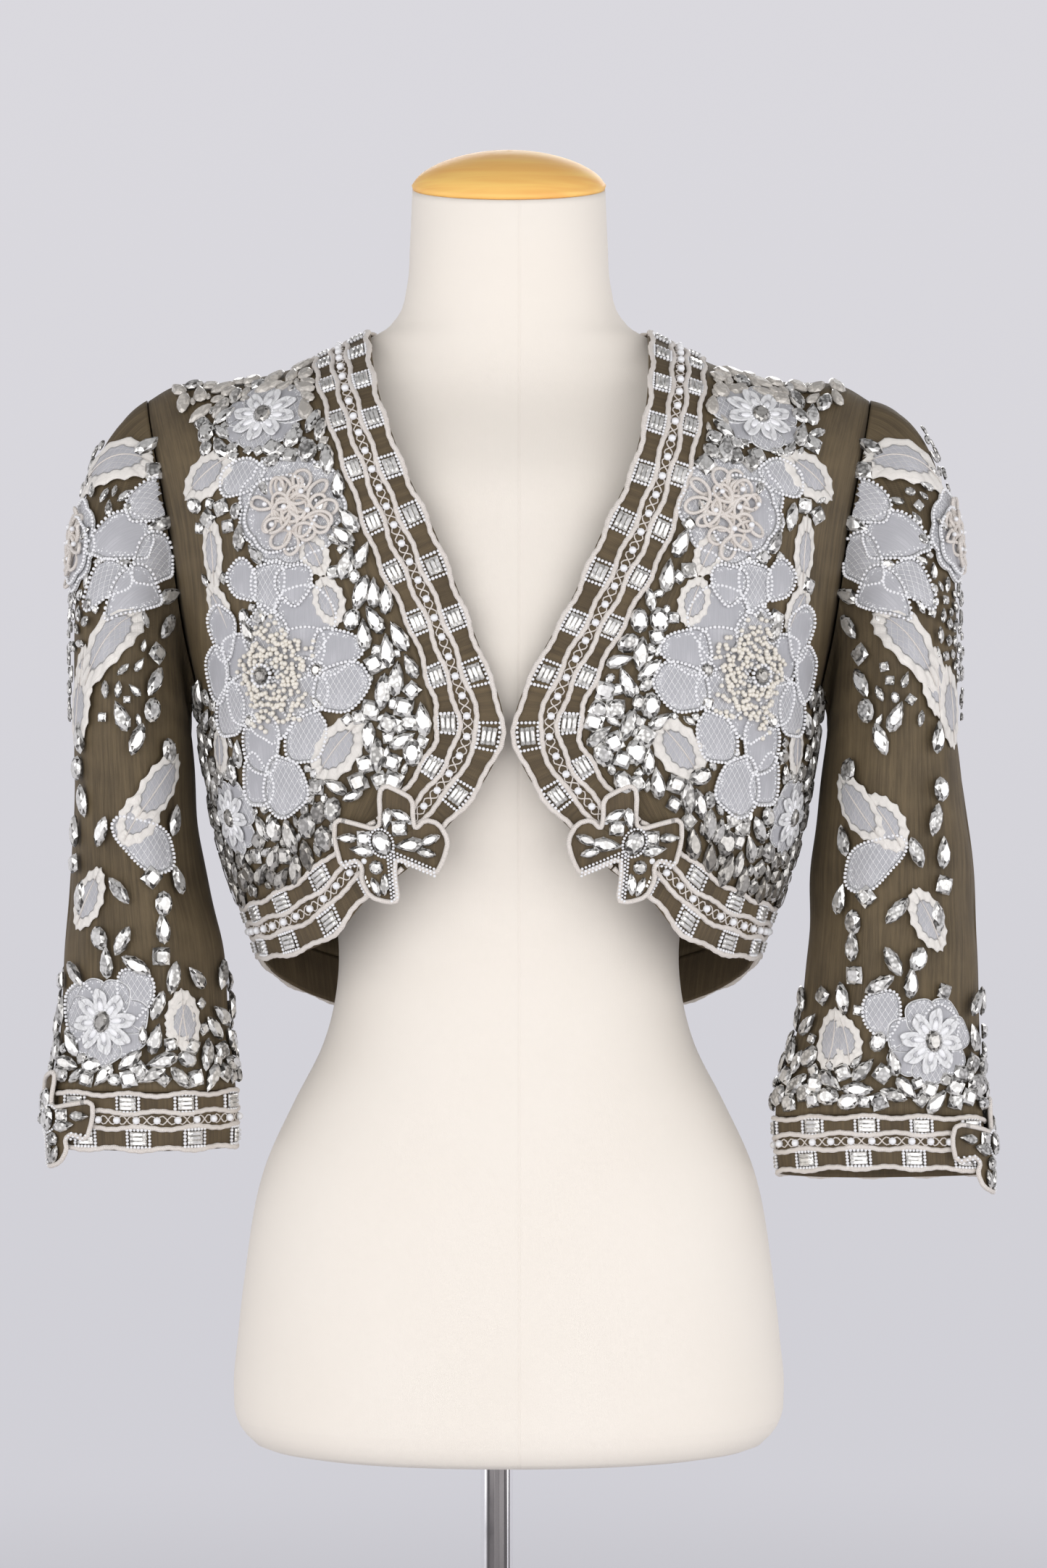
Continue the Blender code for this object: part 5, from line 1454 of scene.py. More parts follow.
    def bow(self, middle, reach, lift=BOW_LIFT):
        """Four flared lobes of cloth outlined with cord, a ringed oval stone and rays of stones."""
        knots = np.stack([np.append(BOW_RIM[name], BOW_RIM[name][:2]) for name in BOW_RIM]) * [[-1], [1]]
        at = np.arange(knots.shape[1])
        fine = np.linspace(0.5, knots.shape[1] - 1.5, 161)[:-1]
        eased = [np.stack([np.interp(fine + step, at, row) for row in knots]) for step in (-0.22, 0.22)]
        outline = 0.5 * (eased[0] + eased[1]) * reach
        self.plate(middle, outline, lift - 0.0004, 0.0016, 2.0, 0.0, finish="band_silk")
        self.cord(middle, outline * 0.985, lift + 0.0012 + 0 * outline[0], CORD_RADIUS * 0.95, 7, True)
        self.ringed_stone(middle, (0.02 * reach, 0.02 * reach), "oval", 65, lift + 0.0020, 0.85, 1.05)
        for across, up, kind, turn, size in BOW_STONES:
            at = np.array([[-across * reach], [up * reach]])
            self.stones(middle, at, kind, [-turn], lift + 0.0014, self.random.uniform(0.6, 0.88), size)
        for start, end in BOW_RAYS:
            line = np.linspace(start, end, 2).T * reach * [[-1], [1]]
            ahead = np.diff(line, axis=1) / np.hypot(*np.diff(line, axis=1))
            side = np.array([-ahead[1], ahead[0]])
            for row in (-1, 0, 1):
                ray = line + side * row * SEED_PITCH * 0.9 + ahead * row * SEED_PITCH / 2
                self.beads(middle, spaced(ray, SEED_PITCH, False), lift + 0.0014 + 0.0005 * (row == 0))

    def fill(self, spots, loose, heading, tint, rows=0):
        """Loose stones over a region. Each spot in turn takes one if it is clear of all before it.

        spots are the ground's two numbers; the trims already there are noted as taken. A stone
        counts as three circles along its length, swollen by loose. The first rows of them stand
        in order and at full size, and the later ones shrink to fill the gaps.
        """
        count = len(spots)
        points, frames = stand_on(self.ground, spots[:, 0], spots[:, 1], STONE_LIFT)
        kinds = self.random.choice(4, count, p=STONE_ODDS)
        half = np.array([STONES[kind] for kind in STONE_NAMES])[kinds]
        index = np.arange(count)
        shrink = np.interp(index, (rows, rows + 1, 0.4 * count, count), FILL_SIZES)
        size = self.random.uniform(0.94, 1.06, count) * shrink * self.spacing / STONE_SPACING
        angles = heading + self.random.normal(0, 1, count) * np.where(index < rows, 16, 30)
        frames = spun(frames, angles)
        along = frames[:, 1] * (np.maximum(half[:, 1] - half[:, 0] * 0.75, 0) * size)[:, None]
        reach = half[:, 0] * size * np.where(index < rows, 1.0, loose) * 0.75
        centres = np.array([middle for middle, _ in self.taken])
        reaches = np.array([far * 0.93 for _, far in self.taken])
        chosen = []
        for index in range(count):
            trio = points[index] + np.array([[-1.0], [0.0], [1.0]]) * along[index]
            around = reach[index] * np.array([0.72, 0.95, 0.72])
            gaps = np.linalg.norm(trio[:, None] - centres[None], axis=2) - reaches[None]
            if (gaps.min(axis=1) > around).all():
                chosen.append(index)
                centres = np.concatenate([centres, trio])
                reaches = np.concatenate([reaches, around])
        chosen = np.array(chosen)
        most = np.where(tint > 0.94, 1.0, 0.92)
        tints = np.clip(tint + self.random.normal(0, 0.10, count), 0.0, most)
        for number, kind in enumerate(STONE_NAMES):
            picked = chosen[kinds[chosen] == number]
            if len(picked):
                sizes = half[picked] * size[picked, None]
                self.keep("crystal", cut_stones(kind, points[picked], frames[picked], sizes, tints[picked]))

    def make(self, replaced):
        """Turn each finish's parts into one piece, which stands for the nodes listed with it."""
        for finish, parts in self.parts.items():
            make_piece(f"{self.name}_{finish}", joined(parts), finish, replaced.get(finish, ()))


def make_piece(name, part, finish, replaced=()):
    """A mesh piece from a part's arrays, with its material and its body."""
    mesh = bpy.data.meshes.new(name)
    points = np.ascontiguousarray(part["points"], dtype=np.float32)
    corners = np.ascontiguousarray(part["triangles"], dtype=np.int32)
    mesh.vertices.add(len(points))
    mesh.vertices.foreach_set("co", points.ravel())
    mesh.loops.add(corners.size)
    mesh.loops.foreach_set("vertex_index", corners.ravel())
    mesh.polygons.add(len(corners))
    mesh.polygons.foreach_set("loop_start", np.arange(0, corners.size, 3, dtype=np.int32))
    mesh.update(calc_edges=True)
    soft = np.broadcast_to(part.get("soft", True), len(corners)).astype(bool)
    mesh.polygons.foreach_set("use_smooth", soft)
    for layer, key in (("cloth", "uv"), ("rim", "rim")):
        if key in part:
            flat = np.broadcast_to(part[key], (len(points), 2)).astype(np.float32)
            mesh.uv_layers.new(name=layer).data.foreach_set("uv", flat[corners.ravel()].ravel())
    for key in CARRIED:
        if key in part:
            values = np.broadcast_to(part[key], len(points)).astype(np.float32)
            mesh.attributes.new(key, "FLOAT", "POINT").data.foreach_set("value", values)
    mesh.materials.append(bpy.data.materials["look_" + finish])
    item = bpy.data.objects.new(name, mesh)
    bpy.context.scene.collection.objects.link(item)
    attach(item, "root")
    if replaced:
        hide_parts(*replaced)
    return item


def cloth_uv(points):
    """Metres across and down a grid of points, as its threads run."""
    across = np.linalg.norm(np.diff(points, axis=1), axis=-1).mean(axis=0)
    down = np.linalg.norm(np.diff(points, axis=0), axis=-1).mean(axis=1)
    return np.stack(np.meshgrid(run_of(across), run_of(down)), axis=-1)


def body_crease(turn, height):
    """How deep the body's cloth sinks, 0 to 1: slow waves down it, crossed by slanting ones."""
    down = np.sin(17 * turn + 2.1 * np.sin(24 * height))
    slant = np.sin(60 * height + 9 * turn + 1.3 * np.sin(31 * height))
    return 0.5 + 0.3 * down + 0.2 * slant


def sleeve_crease(turn, down):
    """How deep a sleeve's cloth sinks, 0 to 1: long folds round it, and slants by the elbow."""
    long_folds = np.sin(6 * turn + 1.7 * np.sin(2.1 * down + 0.5))
    fine = np.sin(11 * turn - 3 * down + 1.3 * np.sin(4 * down))
    elbow = np.sin(22 * down + 3 * np.sin(turn)) * np.exp(-((down - 1.35) / 0.3) ** 2)
    return np.clip(0.5 + 0.24 * long_folds + 0.14 * fine + 0.2 * elbow, 0, 1)


def make_panel(node, grid, face, sign):
    """A body panel: a fine wall on the body's surface whose creases sink in."""
    u, v = grid[..., 0], grid[..., 1]
    facing = body_normal(u, v, face)
    points = body_point(u, v, face)
    sunk = bpy.context.scene.jacket_look.crease * body_crease(u, v)
    sunk[:2] = sunk[-2:] = 0
    sunk[:, :2] = sunk[:, -2:] = 0
    outer = points - facing * sunk[..., None]
    inner = points - facing * CLOTH_WALL
    mirror = np.array([sign, 1, 1])
    wall = shell(outer * mirror, inner * mirror, cloth_uv(points))
    item = make_piece("cloth_" + node, wall, "silk", (node,))


def make_sleeve(side, sleeve):
    """A sleeve: a fine tube from the armhole to the cuff, with folds and sunken creases."""
    ground = sleeve_ground(sleeve)
    half_rows = SLEEVE_ROWS // 2 + 1
    down = np.concatenate([np.linspace(0, 1, half_rows) ** 1.15,
                           np.linspace(1, 2 - CUFF_GAP, half_rows)[1:]])
    turn, down = np.meshgrid(turns(SLEEVE_COLUMNS), down)
    fade = np.clip(np.minimum(down, 2 - down) / 0.12, 0, 1)
    points = ground.point(turn, down)
    facing = ground.normal(turn, down)
    sunk = (SLEEVE_CREASE * sleeve_crease(turn, down) * fade)[..., None]
    outer = (points - facing * sunk) * ground.mirror
    inner = (points - facing * (sunk + CLOTH_WALL)) * ground.mirror
    wall = shell(outer, inner, cloth_uv(points), around=True)
    item = make_piece("cloth_sleeve_" + side, wall, "silk", ("sleeve_" + side,))


class Band:
    """A trimmed band between a free line and a sewn line of a ground's two numbers."""

    def __init__(self, ground, free, sewn):
        self.ground = ground
        self.free = free
        self.sewn = sewn
        middle = ground.over(*((free + sewn) / 2).T)
        self.run = run_of(np.linalg.norm(np.diff(middle, axis=0), axis=1))
        self.length = self.run[-1]

    def place(self, along, share):
        """The ground's two numbers at metres along the band and a share across it."""
        row = np.interp(along, self.run, np.arange(len(self.run)))
        low = np.clip(row.astype(int), 0, len(self.run) - 2)
        part = (row - low)[..., None]
        free, sewn = [line[low] * (1 - part) + line[low + 1] * part for line in (self.free, self.sewn)]
        spot = free + (sewn - free) * np.asarray(share)[..., None]
        return spot[..., 0], spot[..., 1]

    def put(self, along, share, lift=0.0):
        """Points and frames on the band: across it, along it and out of it."""
        along, share = np.broadcast_arrays(along, share)
        ahead = (self.ground.over(*self.place(np.minimum(along + HEADING_STEP, self.length), share))
                 - self.ground.over(*self.place(np.maximum(along - HEADING_STEP, 0), share)))
        u, v = self.place(along, share)
        facing = self.ground.normal(u, v) * self.ground.mirror
        ahead = unit(ahead - (ahead * facing).sum(axis=-1, keepdims=True) * facing)
        points = self.ground.over(u, v, np.broadcast_to(lift, np.shape(u)))
        return points, np.stack([np.cross(ahead, facing), ahead, facing], axis=-2)

    def cloth(self, node):
        """The band's silk, as a closed wall with its outer side on the ground."""
        rows = max(8, int(self.length / BAND_STEP))
        along, share = np.meshgrid(np.linspace(0, self.length, rows + 1), np.linspace(0.004, 0.996, 15))
        outer, frames = self.put(along, share)
        inner = outer - frames[..., 2, :] * BAND_WALL
        outer = outer + frames[..., 2, :] * (BAND_PUFF * np.sin(math.pi * share))[..., None]
        item = make_piece("cloth_" + node, shell(outer, inner, cloth_uv(outer)), "band_silk", (node,))

    def middles(self, pitch, least):
        """How many trims stand along the band, about a pitch apart, and their places."""
        count = max(least, int(round(self.length / pitch)))
        return count, (np.arange(count) + 0.5) * self.length / count

    def trim(self, trims, phase):
        """Four wavy cords, framed stones in the two outer channels, beads and threads between."""
        along = np.arange(0.0006, self.length - 0.0006, 0.0017)
        count, at = self.middles(GEM_PITCH, 1)
        pitch = self.length / count
        for index, share in enumerate(CORD_SHARES):
            lean, way = (GEM_SHIFT, GEM_SHIFT, -GEM_SHIFT, -GEM_SHIFT)[index], (-1, 1, -1, 1)[index]
            wave = CORD_SWING * way * np.cos((along - at[0] - lean) * 2 * math.pi / pitch)
            wave += CORD_RIPPLE * np.sin(along * 2 * math.pi / RIPPLE_PITCH + index + phase)
            path, frames = self.put(along, share + wave / BAND_WIDTH, 0.0010)
            trims.keep("cord", tube(path, frames[:, 2], CORD_RADIUS, 7))
        across, up = GEM_FRAME
        corner = np.array([(-across, -up), (across, -up), (across, up), (-across, up)]).T
        ring = spaced(corner, FRAME_PITCH)
        for share, shift in zip(STONE_SHARES, (GEM_SHIFT, -GEM_SHIFT)):
            middles = np.clip(at + shift, 0.008, self.length - 0.008)
            for step in (-1, 0, 1):
                path, frames = self.put(middles, share + step * GEM_STEP / BAND_WIDTH, STONE_LIFT)
                tints = trims.random.uniform(0.72, 0.92, len(middles))
                stones = cut_stones("baguette", path, frames, STONES["baguette"], tints, step + 2)
                trims.keep("crystal", stones)
            rings = self.put(middles[:, None] + ring[1], share + ring[0] / BAND_WIDTH, FRAME_BEAD)
            places, frames = rings[0].reshape(-1, 3), rings[1].reshape(-1, 3, 3)
            wobble = trims.random.uniform(0.9, 1.08, (len(places), 1)) * FRAME_BEAD * np.ones(3)
            trims.keep("beads", scatter(ball(), places, frames, wobble, 1.0))
        count, at = self.middles(ROUND_PITCH, 2)
        places, frames = self.put(at, MIDDLE_SHARE, ROUND_BEAD * 0.8)
        trims.keep("beads", scatter(ball(10, 4), places, frames, ROUND_BEAD * np.ones((count, 3)), 1.0))
        swing = THREAD_SWING / BAND_WIDTH * np.sin((along / self.length * count + 0.5) * 2 * math.pi)
        for side in (-1, 1):
            path, frames = self.put(along, MIDDLE_SHARE + side * swing, 0.0008)
            trims.keep("cord", tube(path, frames[:, 2], THREAD_RADIUS, 5))


def bands_of(side):
    """The three bands of one side: front edge, front hem and cuff, by node name."""
    sleeve = SLEEVES[side]
    front = body_ground(-1, sleeve["sign"])
    shares = np.linspace(0, 1, BAND_POINTS)
    slit = math.radians(sleeve["bow_turn"])
    margin = CUFF_SLIT / sleeve["rings"]["half_depth"][0]
    turn = np.linspace(slit + margin, slit + 2 * math.pi - margin, BAND_POINTS)
    cuff = [np.stack([turn, down + 0 * turn], -1) for down in (cuff_share(sleeve), 2 + CUFF_GAP)]
    return {
        "edge_band_" + side: Band(front, *edge_lines(side, shares)),
        "hem_band_" + side: Band(front, *hem_lines(shares)),
        "cuff_band_" + side: Band(sleeve_ground(sleeve), *cuff),
    }


def back_bands():
    """The back's hem band and neck band."""
    back = body_ground(1)
    turn = np.linspace(-math.pi / 2, math.pi / 2, 240)
    free = np.stack([turn, back_hem(turn)], axis=-1)
    return {
        "hem_band_back": Band(back, free, free + (0, HEM_BAND_TOP - HEM_HEIGHT)),
        "neck_band_back": Band(back, *neck_lines(BAND_POINTS)),
    }


def stand_on(ground, u, v, lift):
    """Points and frames at many places of a ground, each frame's second direction upwards."""
    along_u, along_v = partials(ground.point, u, v)
    facing = ground.normal(u, v)
    side = unit(along_u - (along_u * facing).sum(-1, keepdims=True) * facing)
    rise = unit(along_v - (along_v * side).sum(-1, keepdims=True) * side)
    rise = np.where(rise[:, 2:] < 0, -rise, rise)
    points = ground.point(u, v) + facing * lift
    return points * ground.mirror, np.stack([side, rise, facing], axis=-2) * ground.mirror


def armhole_reach(height):
    """How far out stones may lie at a height: to near the armhole, and anywhere below it."""
    armhole = np.interp(height, ARMHOLE["height"][::-1], ARMHOLE["out"][::-1])
    return np.where(height < UNDERARM_HEIGHT, 1.0, armhole - ARMHOLE_MARGIN)


def front_trims(side):
    """Blossoms, leaves, organza scales, a bow and loose stones on one front."""
    trims = Trims("front_" + side, body_ground(-1, SLEEVES[side]["sign"]))
    shift = LEFT_TRIM_OUT if side == "left" else 0
    for out, height, length, width, *look in zip(*SCALES.values()):
        middle = trims.spot(out + shift, height, 0.40 * (length + width) / 2 + 0.004)
        trims.scale(middle, length, width, *look)
    for out, height, length, width, heading in LEAVES.values():
        middle = trims.spot(out, height, 0.38 * length)
        trims.leaf(middle, length * FRONT_SWELL, width * FRONT_SWELL, heading)
    for name, (out, height, reach) in FLOWERS.items():
        middle = trims.spot(out + shift, height, reach * 1.02)
        if name == "rose":
            trims.rose(middle, reach * 1.12)
        elif name == "bead_flower":
            trims.bead_flower(middle, reach * FRONT_SWELL)
        else:
            trims.blossom(middle, reach)
    trims.bow(trims.spot(*BOW_CENTRE, BOW_REACH * 0.86), BOW_REACH)
    trims.fill(*front_region(side, trims.random))
    organza = [f"{name}_{side}" for name in (*FLOWERS, *LEAVES) if name not in TRIM_FINISH]
    trims.make({"organza": organza, "cord": ["rose_" + side], "beads": ["bead_flower_" + side],
                "crystal": ["bow_" + side]})


def front_region(side, random):
    """A front's places for stones, how loose, turned and bright they are, and how many stand in
    rows: first a grid that follows the edge band, row by row, then places at random."""
    sewn = edge_lines(side, np.linspace(0, 1, 120))[1][::-1]
    line_out, line_height = half_width(sewn[:, 1]) * np.sin(sewn[:, 0]), sewn[:, 1]
    lean = np.gradient(line_out, line_height)
    turn = random.uniform(0.2, math.pi / 2, FRONT_TRIES)
    height = random.uniform(0.855, 1.2, FRONT_TRIES)
    column, row = [axis.ravel() for axis in
                   np.meshgrid(np.arange(STONE_COLUMNS), np.arange(0.86, 1.125, STONE_ROW))]
    row = row + STONE_ROW / 2 * (column % 2) + random.normal(0, 0.0010, len(row))
    aside = 0.0070 * np.hypot(1, np.interp(row, line_height, lean))
    across = np.interp(row, line_height, line_out) + aside + STONE_COLUMN * column
    turn = np.concatenate([turn_at(across, row), turn])
    height = np.concatenate([row, height])
    out = half_width(height) * np.sin(turn)
    inner = np.interp(height, line_height, line_out)
    hem = hem_lines(np.linspace(0, 1, 60))[1]
    hem_top = np.interp(out, half_width(hem[:, 1]) * np.sin(hem[:, 0]), hem[:, 1])
    inside = (out > inner + 0.0050) & (height > hem_top + 0.0055) & (out < armhole_reach(height))
    inside &= height < shoulder_height(out) - SHOULDER_MARGIN
    blossom_out, blossom_height, _ = FLOWERS["blossom_high"]
    near_blossom = np.hypot(out - blossom_out, height - blossom_height) < 0.040
    near_top = (height > shoulder_height(out) - 0.018) | (out < blossom_out)
    inside &= (height < 1.105) | near_blossom | near_top
    rows = int(inside[:len(row)].sum())
    spots = np.stack([turn, height], axis=-1)[inside]
    out, height, inner, hem_top = out[inside], height[inside], inner[inside], hem_top[inside]
    near_band = np.clip(1 - (out - inner) / 0.04, 0, 1)
    near_hem = np.clip(1 - (height - hem_top) / 0.05, 0, 1)
    far_out = np.clip((out - inner - 0.045) / 0.03, 0, 1)
    loose = 1.0 + 0.45 * far_out * (1 - near_hem) * (height < 1.12)
    heading = np.degrees(np.arctan(-np.interp(height, line_height, lean))) * near_band
    tint = 0.76 + 0.14 * near_band - 0.62 * near_hem * (1 - near_band)
    tint = tint + 0.32 * np.clip((height - 1.12) / 0.04, 0, 1)
    return spots, loose, heading, tint, rows


def sleeve_trims(side):
    """Organza flowers and leaves, rows of stones, the cuff's bow and a dense row above it."""
    sleeve = SLEEVES[side]
    ground = sleeve_ground(sleeve)
    trims = Trims("sleeve_" + side, ground)
    turn, down = np.meshgrid(np.radians(np.arange(8, 174, 1.5)), np.linspace(0.02, 1.99, 320))
    turn, down = turn.ravel(), down.ravel()
    surface = ground.point(turn, down)
    drop = LEFT_SLEEVE_DROP if side == "left" else 0.0

    def nearest(out, height):
        """The front surface's two numbers nearest a place seen from the front."""
        height = height - drop * (height < DROP_BELOW)
        index = np.argmin(np.hypot(surface[:, 0] - out, surface[:, 2] - height))
        return float(turn[index]), float(down[index])

    for out, height, length, width, *look in zip(*SLEEVE_SCALES.values()):
        middle = trims.note(nearest(out, height), 0.2 * (length + width))
        trims.scale(middle, length, width, *look)
    for degrees, place, length, width, heading in SLEEVE_LEAVES.values():
        middle = trims.note((math.radians(degrees), place), 0.38 * length)
        trims.leaf(middle, length, width, heading, 0.72, 1)
    for name, (degrees, place, reach) in SLEEVE_FLOWERS.items():
        middle = trims.note((math.radians(degrees), place), reach * 1.1)
        if name == "rose":
            trims.rose(middle, reach)
        else:
            trims.blossom(middle, reach * 1.05)
    cuff_middle = (2 + cuff_share(sleeve)) / 2
    trims.bow((math.radians(sleeve["bow_turn"]), cuff_middle), CUFF_BOW_REACH, CUFF_BOW_LIFT)
    for out, height, heading, kind in zip(*SLEEVE_STONES.values()):
        middle = trims.note(nearest(out, height), 0.007)
        trims.stones(middle, np.zeros((2, 1)), STONE_NAMES[int(kind)], [heading], STONE_LIFT, 0.80, 1.08)
    turn_low = trims.random.uniform(0, 2 * math.pi, SLEEVE_TRIES)
    down_low = CUFF_STONES - CUFF_STONES_UP * trims.random.uniform(0, 1, SLEEVE_TRIES) ** 1.6
    turn_high = trims.random.uniform(0.1, 1.9, SLEEVE_TRIES // 3)
    down_high = trims.random.uniform(0.22, 0.95, SLEEVE_TRIES // 3)
    spots = np.concatenate([np.stack([turn_low, down_low], -1), np.stack([turn_high, down_high], -1)])
    by_cuff = spots[:, 1] > 1.2
    up = np.clip((CUFF_STONES - spots[:, 1]) / CUFF_STONES_UP, 0, 1)
    loose = np.where(by_cuff, 1.0 + 1.6 * up ** 2, 1.9)
    heading = np.where(spots[:, 1] > 1.9, 90.0, 10.0)
    trims.fill(spots, loose, heading, np.where(by_cuff, 0.80, 0.74))
    organza = [f"sleeve_{name}_{side}" for name in (*SLEEVE_LEAVES, "blossom")]
    trims.make({"organza": organza, "cord": ["sleeve_rose_" + side], "crystal": ["cuff_bow_" + side]})


def back_trims():
    """A plainer set on the back: a rose, two blossoms, leaves, scales and stones by the bands."""
    trims = Trims("back_trims", body_ground(1))
    for sign in (1, -1):
        for out, height, length, width, heading, *look in zip(*BACK_SCALES.values()):
            middle = trims.spot(sign * out, height, 0.2 * (length + width))
            trims.scale(middle, length, width, heading if sign > 0 else 180 - heading, *look)
    for out, height, length, width, heading in BACK_LEAVES.values():
        trims.leaf(trims.spot(out, height, 0.38 * length), length, width, heading, 0.7, 1)
    for name, (out, height, reach) in BACK_FLOWERS.items():
        middle = trims.spot(out, height, reach * 1.05)
        if name in TRIM_FINISH:
            trims.rose(middle, reach)
        else:
            trims.blossom(middle, reach)
    turn = trims.random.uniform(-math.pi / 2, math.pi / 2, BACK_TRIES)
    height = trims.random.uniform(0.80, 1.17, BACK_TRIES)
    out = half_width(height) * np.sin(turn)
    hem_top = back_hem(turn) + HEM_BAND_TOP - HEM_HEIGHT
    neck = np.interp(np.abs(out), BACK_NECK["out"], BACK_NECK["band_height"])
    inside = (height > hem_top + BACK_MARGIN) & (height < neck - BACK_MARGIN)
    inside &= (np.abs(out) < armhole_reach(height)) & (height < shoulder_height(out) - SHOULDER_MARGIN)
    spots = np.stack([turn, height], axis=-1)[inside]
    near = np.minimum(height - hem_top, 3 * np.maximum(neck - height, 0.0))[inside]
    loose = 1.0 + 1.1 * np.clip(near / 0.06, 0, 1)
    trims.fill(spots, loose, 0 * loose, 0.68 + 0 * loose)
    organza = [name for name in (*BACK_LEAVES, *BACK_FLOWERS) if name not in TRIM_FINISH]
    trims.make({"organza": organza, "cord": ["back_rose"]})


def form_section(height):
    """Half width, front depth, back depth and widest y of the form at a height, and its rows.

    Under the jacket's shoulder its width is where the shoulder line, less the cloth and a
    slight clearance, reaches that height, so the bands rest on it there.
    """
    rows = {name: np.concatenate([FORM[name], NECK[name]]) for name in FORM}
    out = np.linspace(BAND_OUT + 3 * SHOULDER_REST, NECK_OUT + SHOULDER_REST, 5)
    line = shoulder_height(out) - FORM_CLEARANCE
    heights = np.concatenate([rows["height"], line])
    order = np.argsort(heights)
    columns = [np.concatenate([rows["half_width"], out])[order]]
    for name in ("front", "back", "middle_y"):
        between_rows = np.interp(line, rows["height"], rows[name])
        columns.append(np.concatenate([rows[name], between_rows])[order])
    return [smooth(height, heights[order], column) for column in columns], heights[order]


def make_form():
    """The torso: a stack of rounded rings with a flat bottom and a tilted top for the cap."""
    _, knots = form_section(np.array([FORM_BOTTOM]))
    heights = np.unique(np.concatenate([knots, np.linspace(FORM_BOTTOM, NECK_TOP, FORM_RINGS)]))
    sections, _ = form_section(heights)
    near = np.exp(-((heights[:, None] - heights[None, :]) / SETTLE) ** 2)
    near /= near.sum(axis=1, keepdims=True)
    ease = np.clip(np.minimum(heights - 1.10, 1.25 - heights) / 0.03, 0, 1)
    wide, *depths = sections
    front, back, middle = [row + ease * (near @ row - row) for row in depths]
    angle = turns(FORM_SIDES)
    across, deep = [np.sign(wave) * np.abs(wave) ** (2 / FORM_SQUARENESS)
                    for wave in (np.cos(angle), np.sin(angle))]
    half_depth = np.where(deep < 0, (front + middle)[:, None], (back - middle)[:, None])
    y = middle[:, None] + half_depth * deep
    tilt = NECK_TILT * np.clip((heights - NECK_TILT_START) / (NECK_TOP - NECK_TILT_START), 0, 1) ** 2
    rings = np.stack([wide[:, None] * across, y, heights[:, None] + tilt[:, None] * y], axis=-1)
    count, sides = rings.shape[:2]
    uv = np.stack(np.broadcast_arrays(angle * 0.14, heights[:, None]), axis=-1).reshape(-1, 2)
    part = {"points": rings.reshape(-1, 3), "triangles": capped(count, sides), "uv": uv}
    make_piece("torso", outward(part), "canvas", ("form",))


def make_cap():
    """The wooden cap: a turned dome, a little narrower front to back, tipped forwards."""
    dome = {name: column[:6] for name, column in CAP_PROFILE.items()}
    shares = np.linspace(0, 1, 40)
    out, height = [smooth(shares, lengths(dome["out"], dome["height"]), dome[name])
                   for name in ("out", "height")]
    profile = list(zip(np.clip(out, HUB, 1), height)) + [(CAP_PROFILE["out"][6], 0.0), (HUB, 0.0)]
    part = lathe(profile, squeeze=CAP_DEPTH_SCALE)
    lean = math.atan(NECK_TILT)
    tipped = np.array([[1, 0, 0], [0, math.cos(lean), -math.sin(lean)],
                       [0, math.sin(lean), math.cos(lean)]])
    middle = (0, CAP_CENTRE_Y, NECK_TOP + NECK_TILT * CAP_CENTRE_Y + SEAT_GAP)
    part["points"] = part["points"] @ tipped.T + middle
    make_piece("wooden_cap", outward(part), "wood", ("neck_cap",))


def make_stand():
    """The chrome pole and the round foot, both turned."""
    top = FORM_BOTTOM - SEAT_GAP
    low = BASE_HEIGHT + SEAT_GAP
    pole = [(HUB, low), (POLE_RADIUS, low), (POLE_RADIUS, top), (HUB, top)]
    inset = BASE_RADIUS - BASE_EDGE
    foot = [(HUB, 0.0), (inset, 0.0), (BASE_RADIUS, BASE_EDGE)]
    foot += [(inset + BASE_EDGE * math.cos(a), BASE_HEIGHT - BASE_EDGE + BASE_EDGE * math.sin(a))
             for a in np.linspace(0, math.pi / 2, 7)]
    foot += [(HUB, BASE_HEIGHT)]
    for name, profile, node in (("pole", pole, "stand_pole"), ("foot", foot, "stand_base")):
        item = make_piece(name, outward(lathe(profile, (STAND_OUT, 0, 0))), "chrome", (node,))
        item.data.set_sharp_from_angle(angle=SHARP_ANGLE)


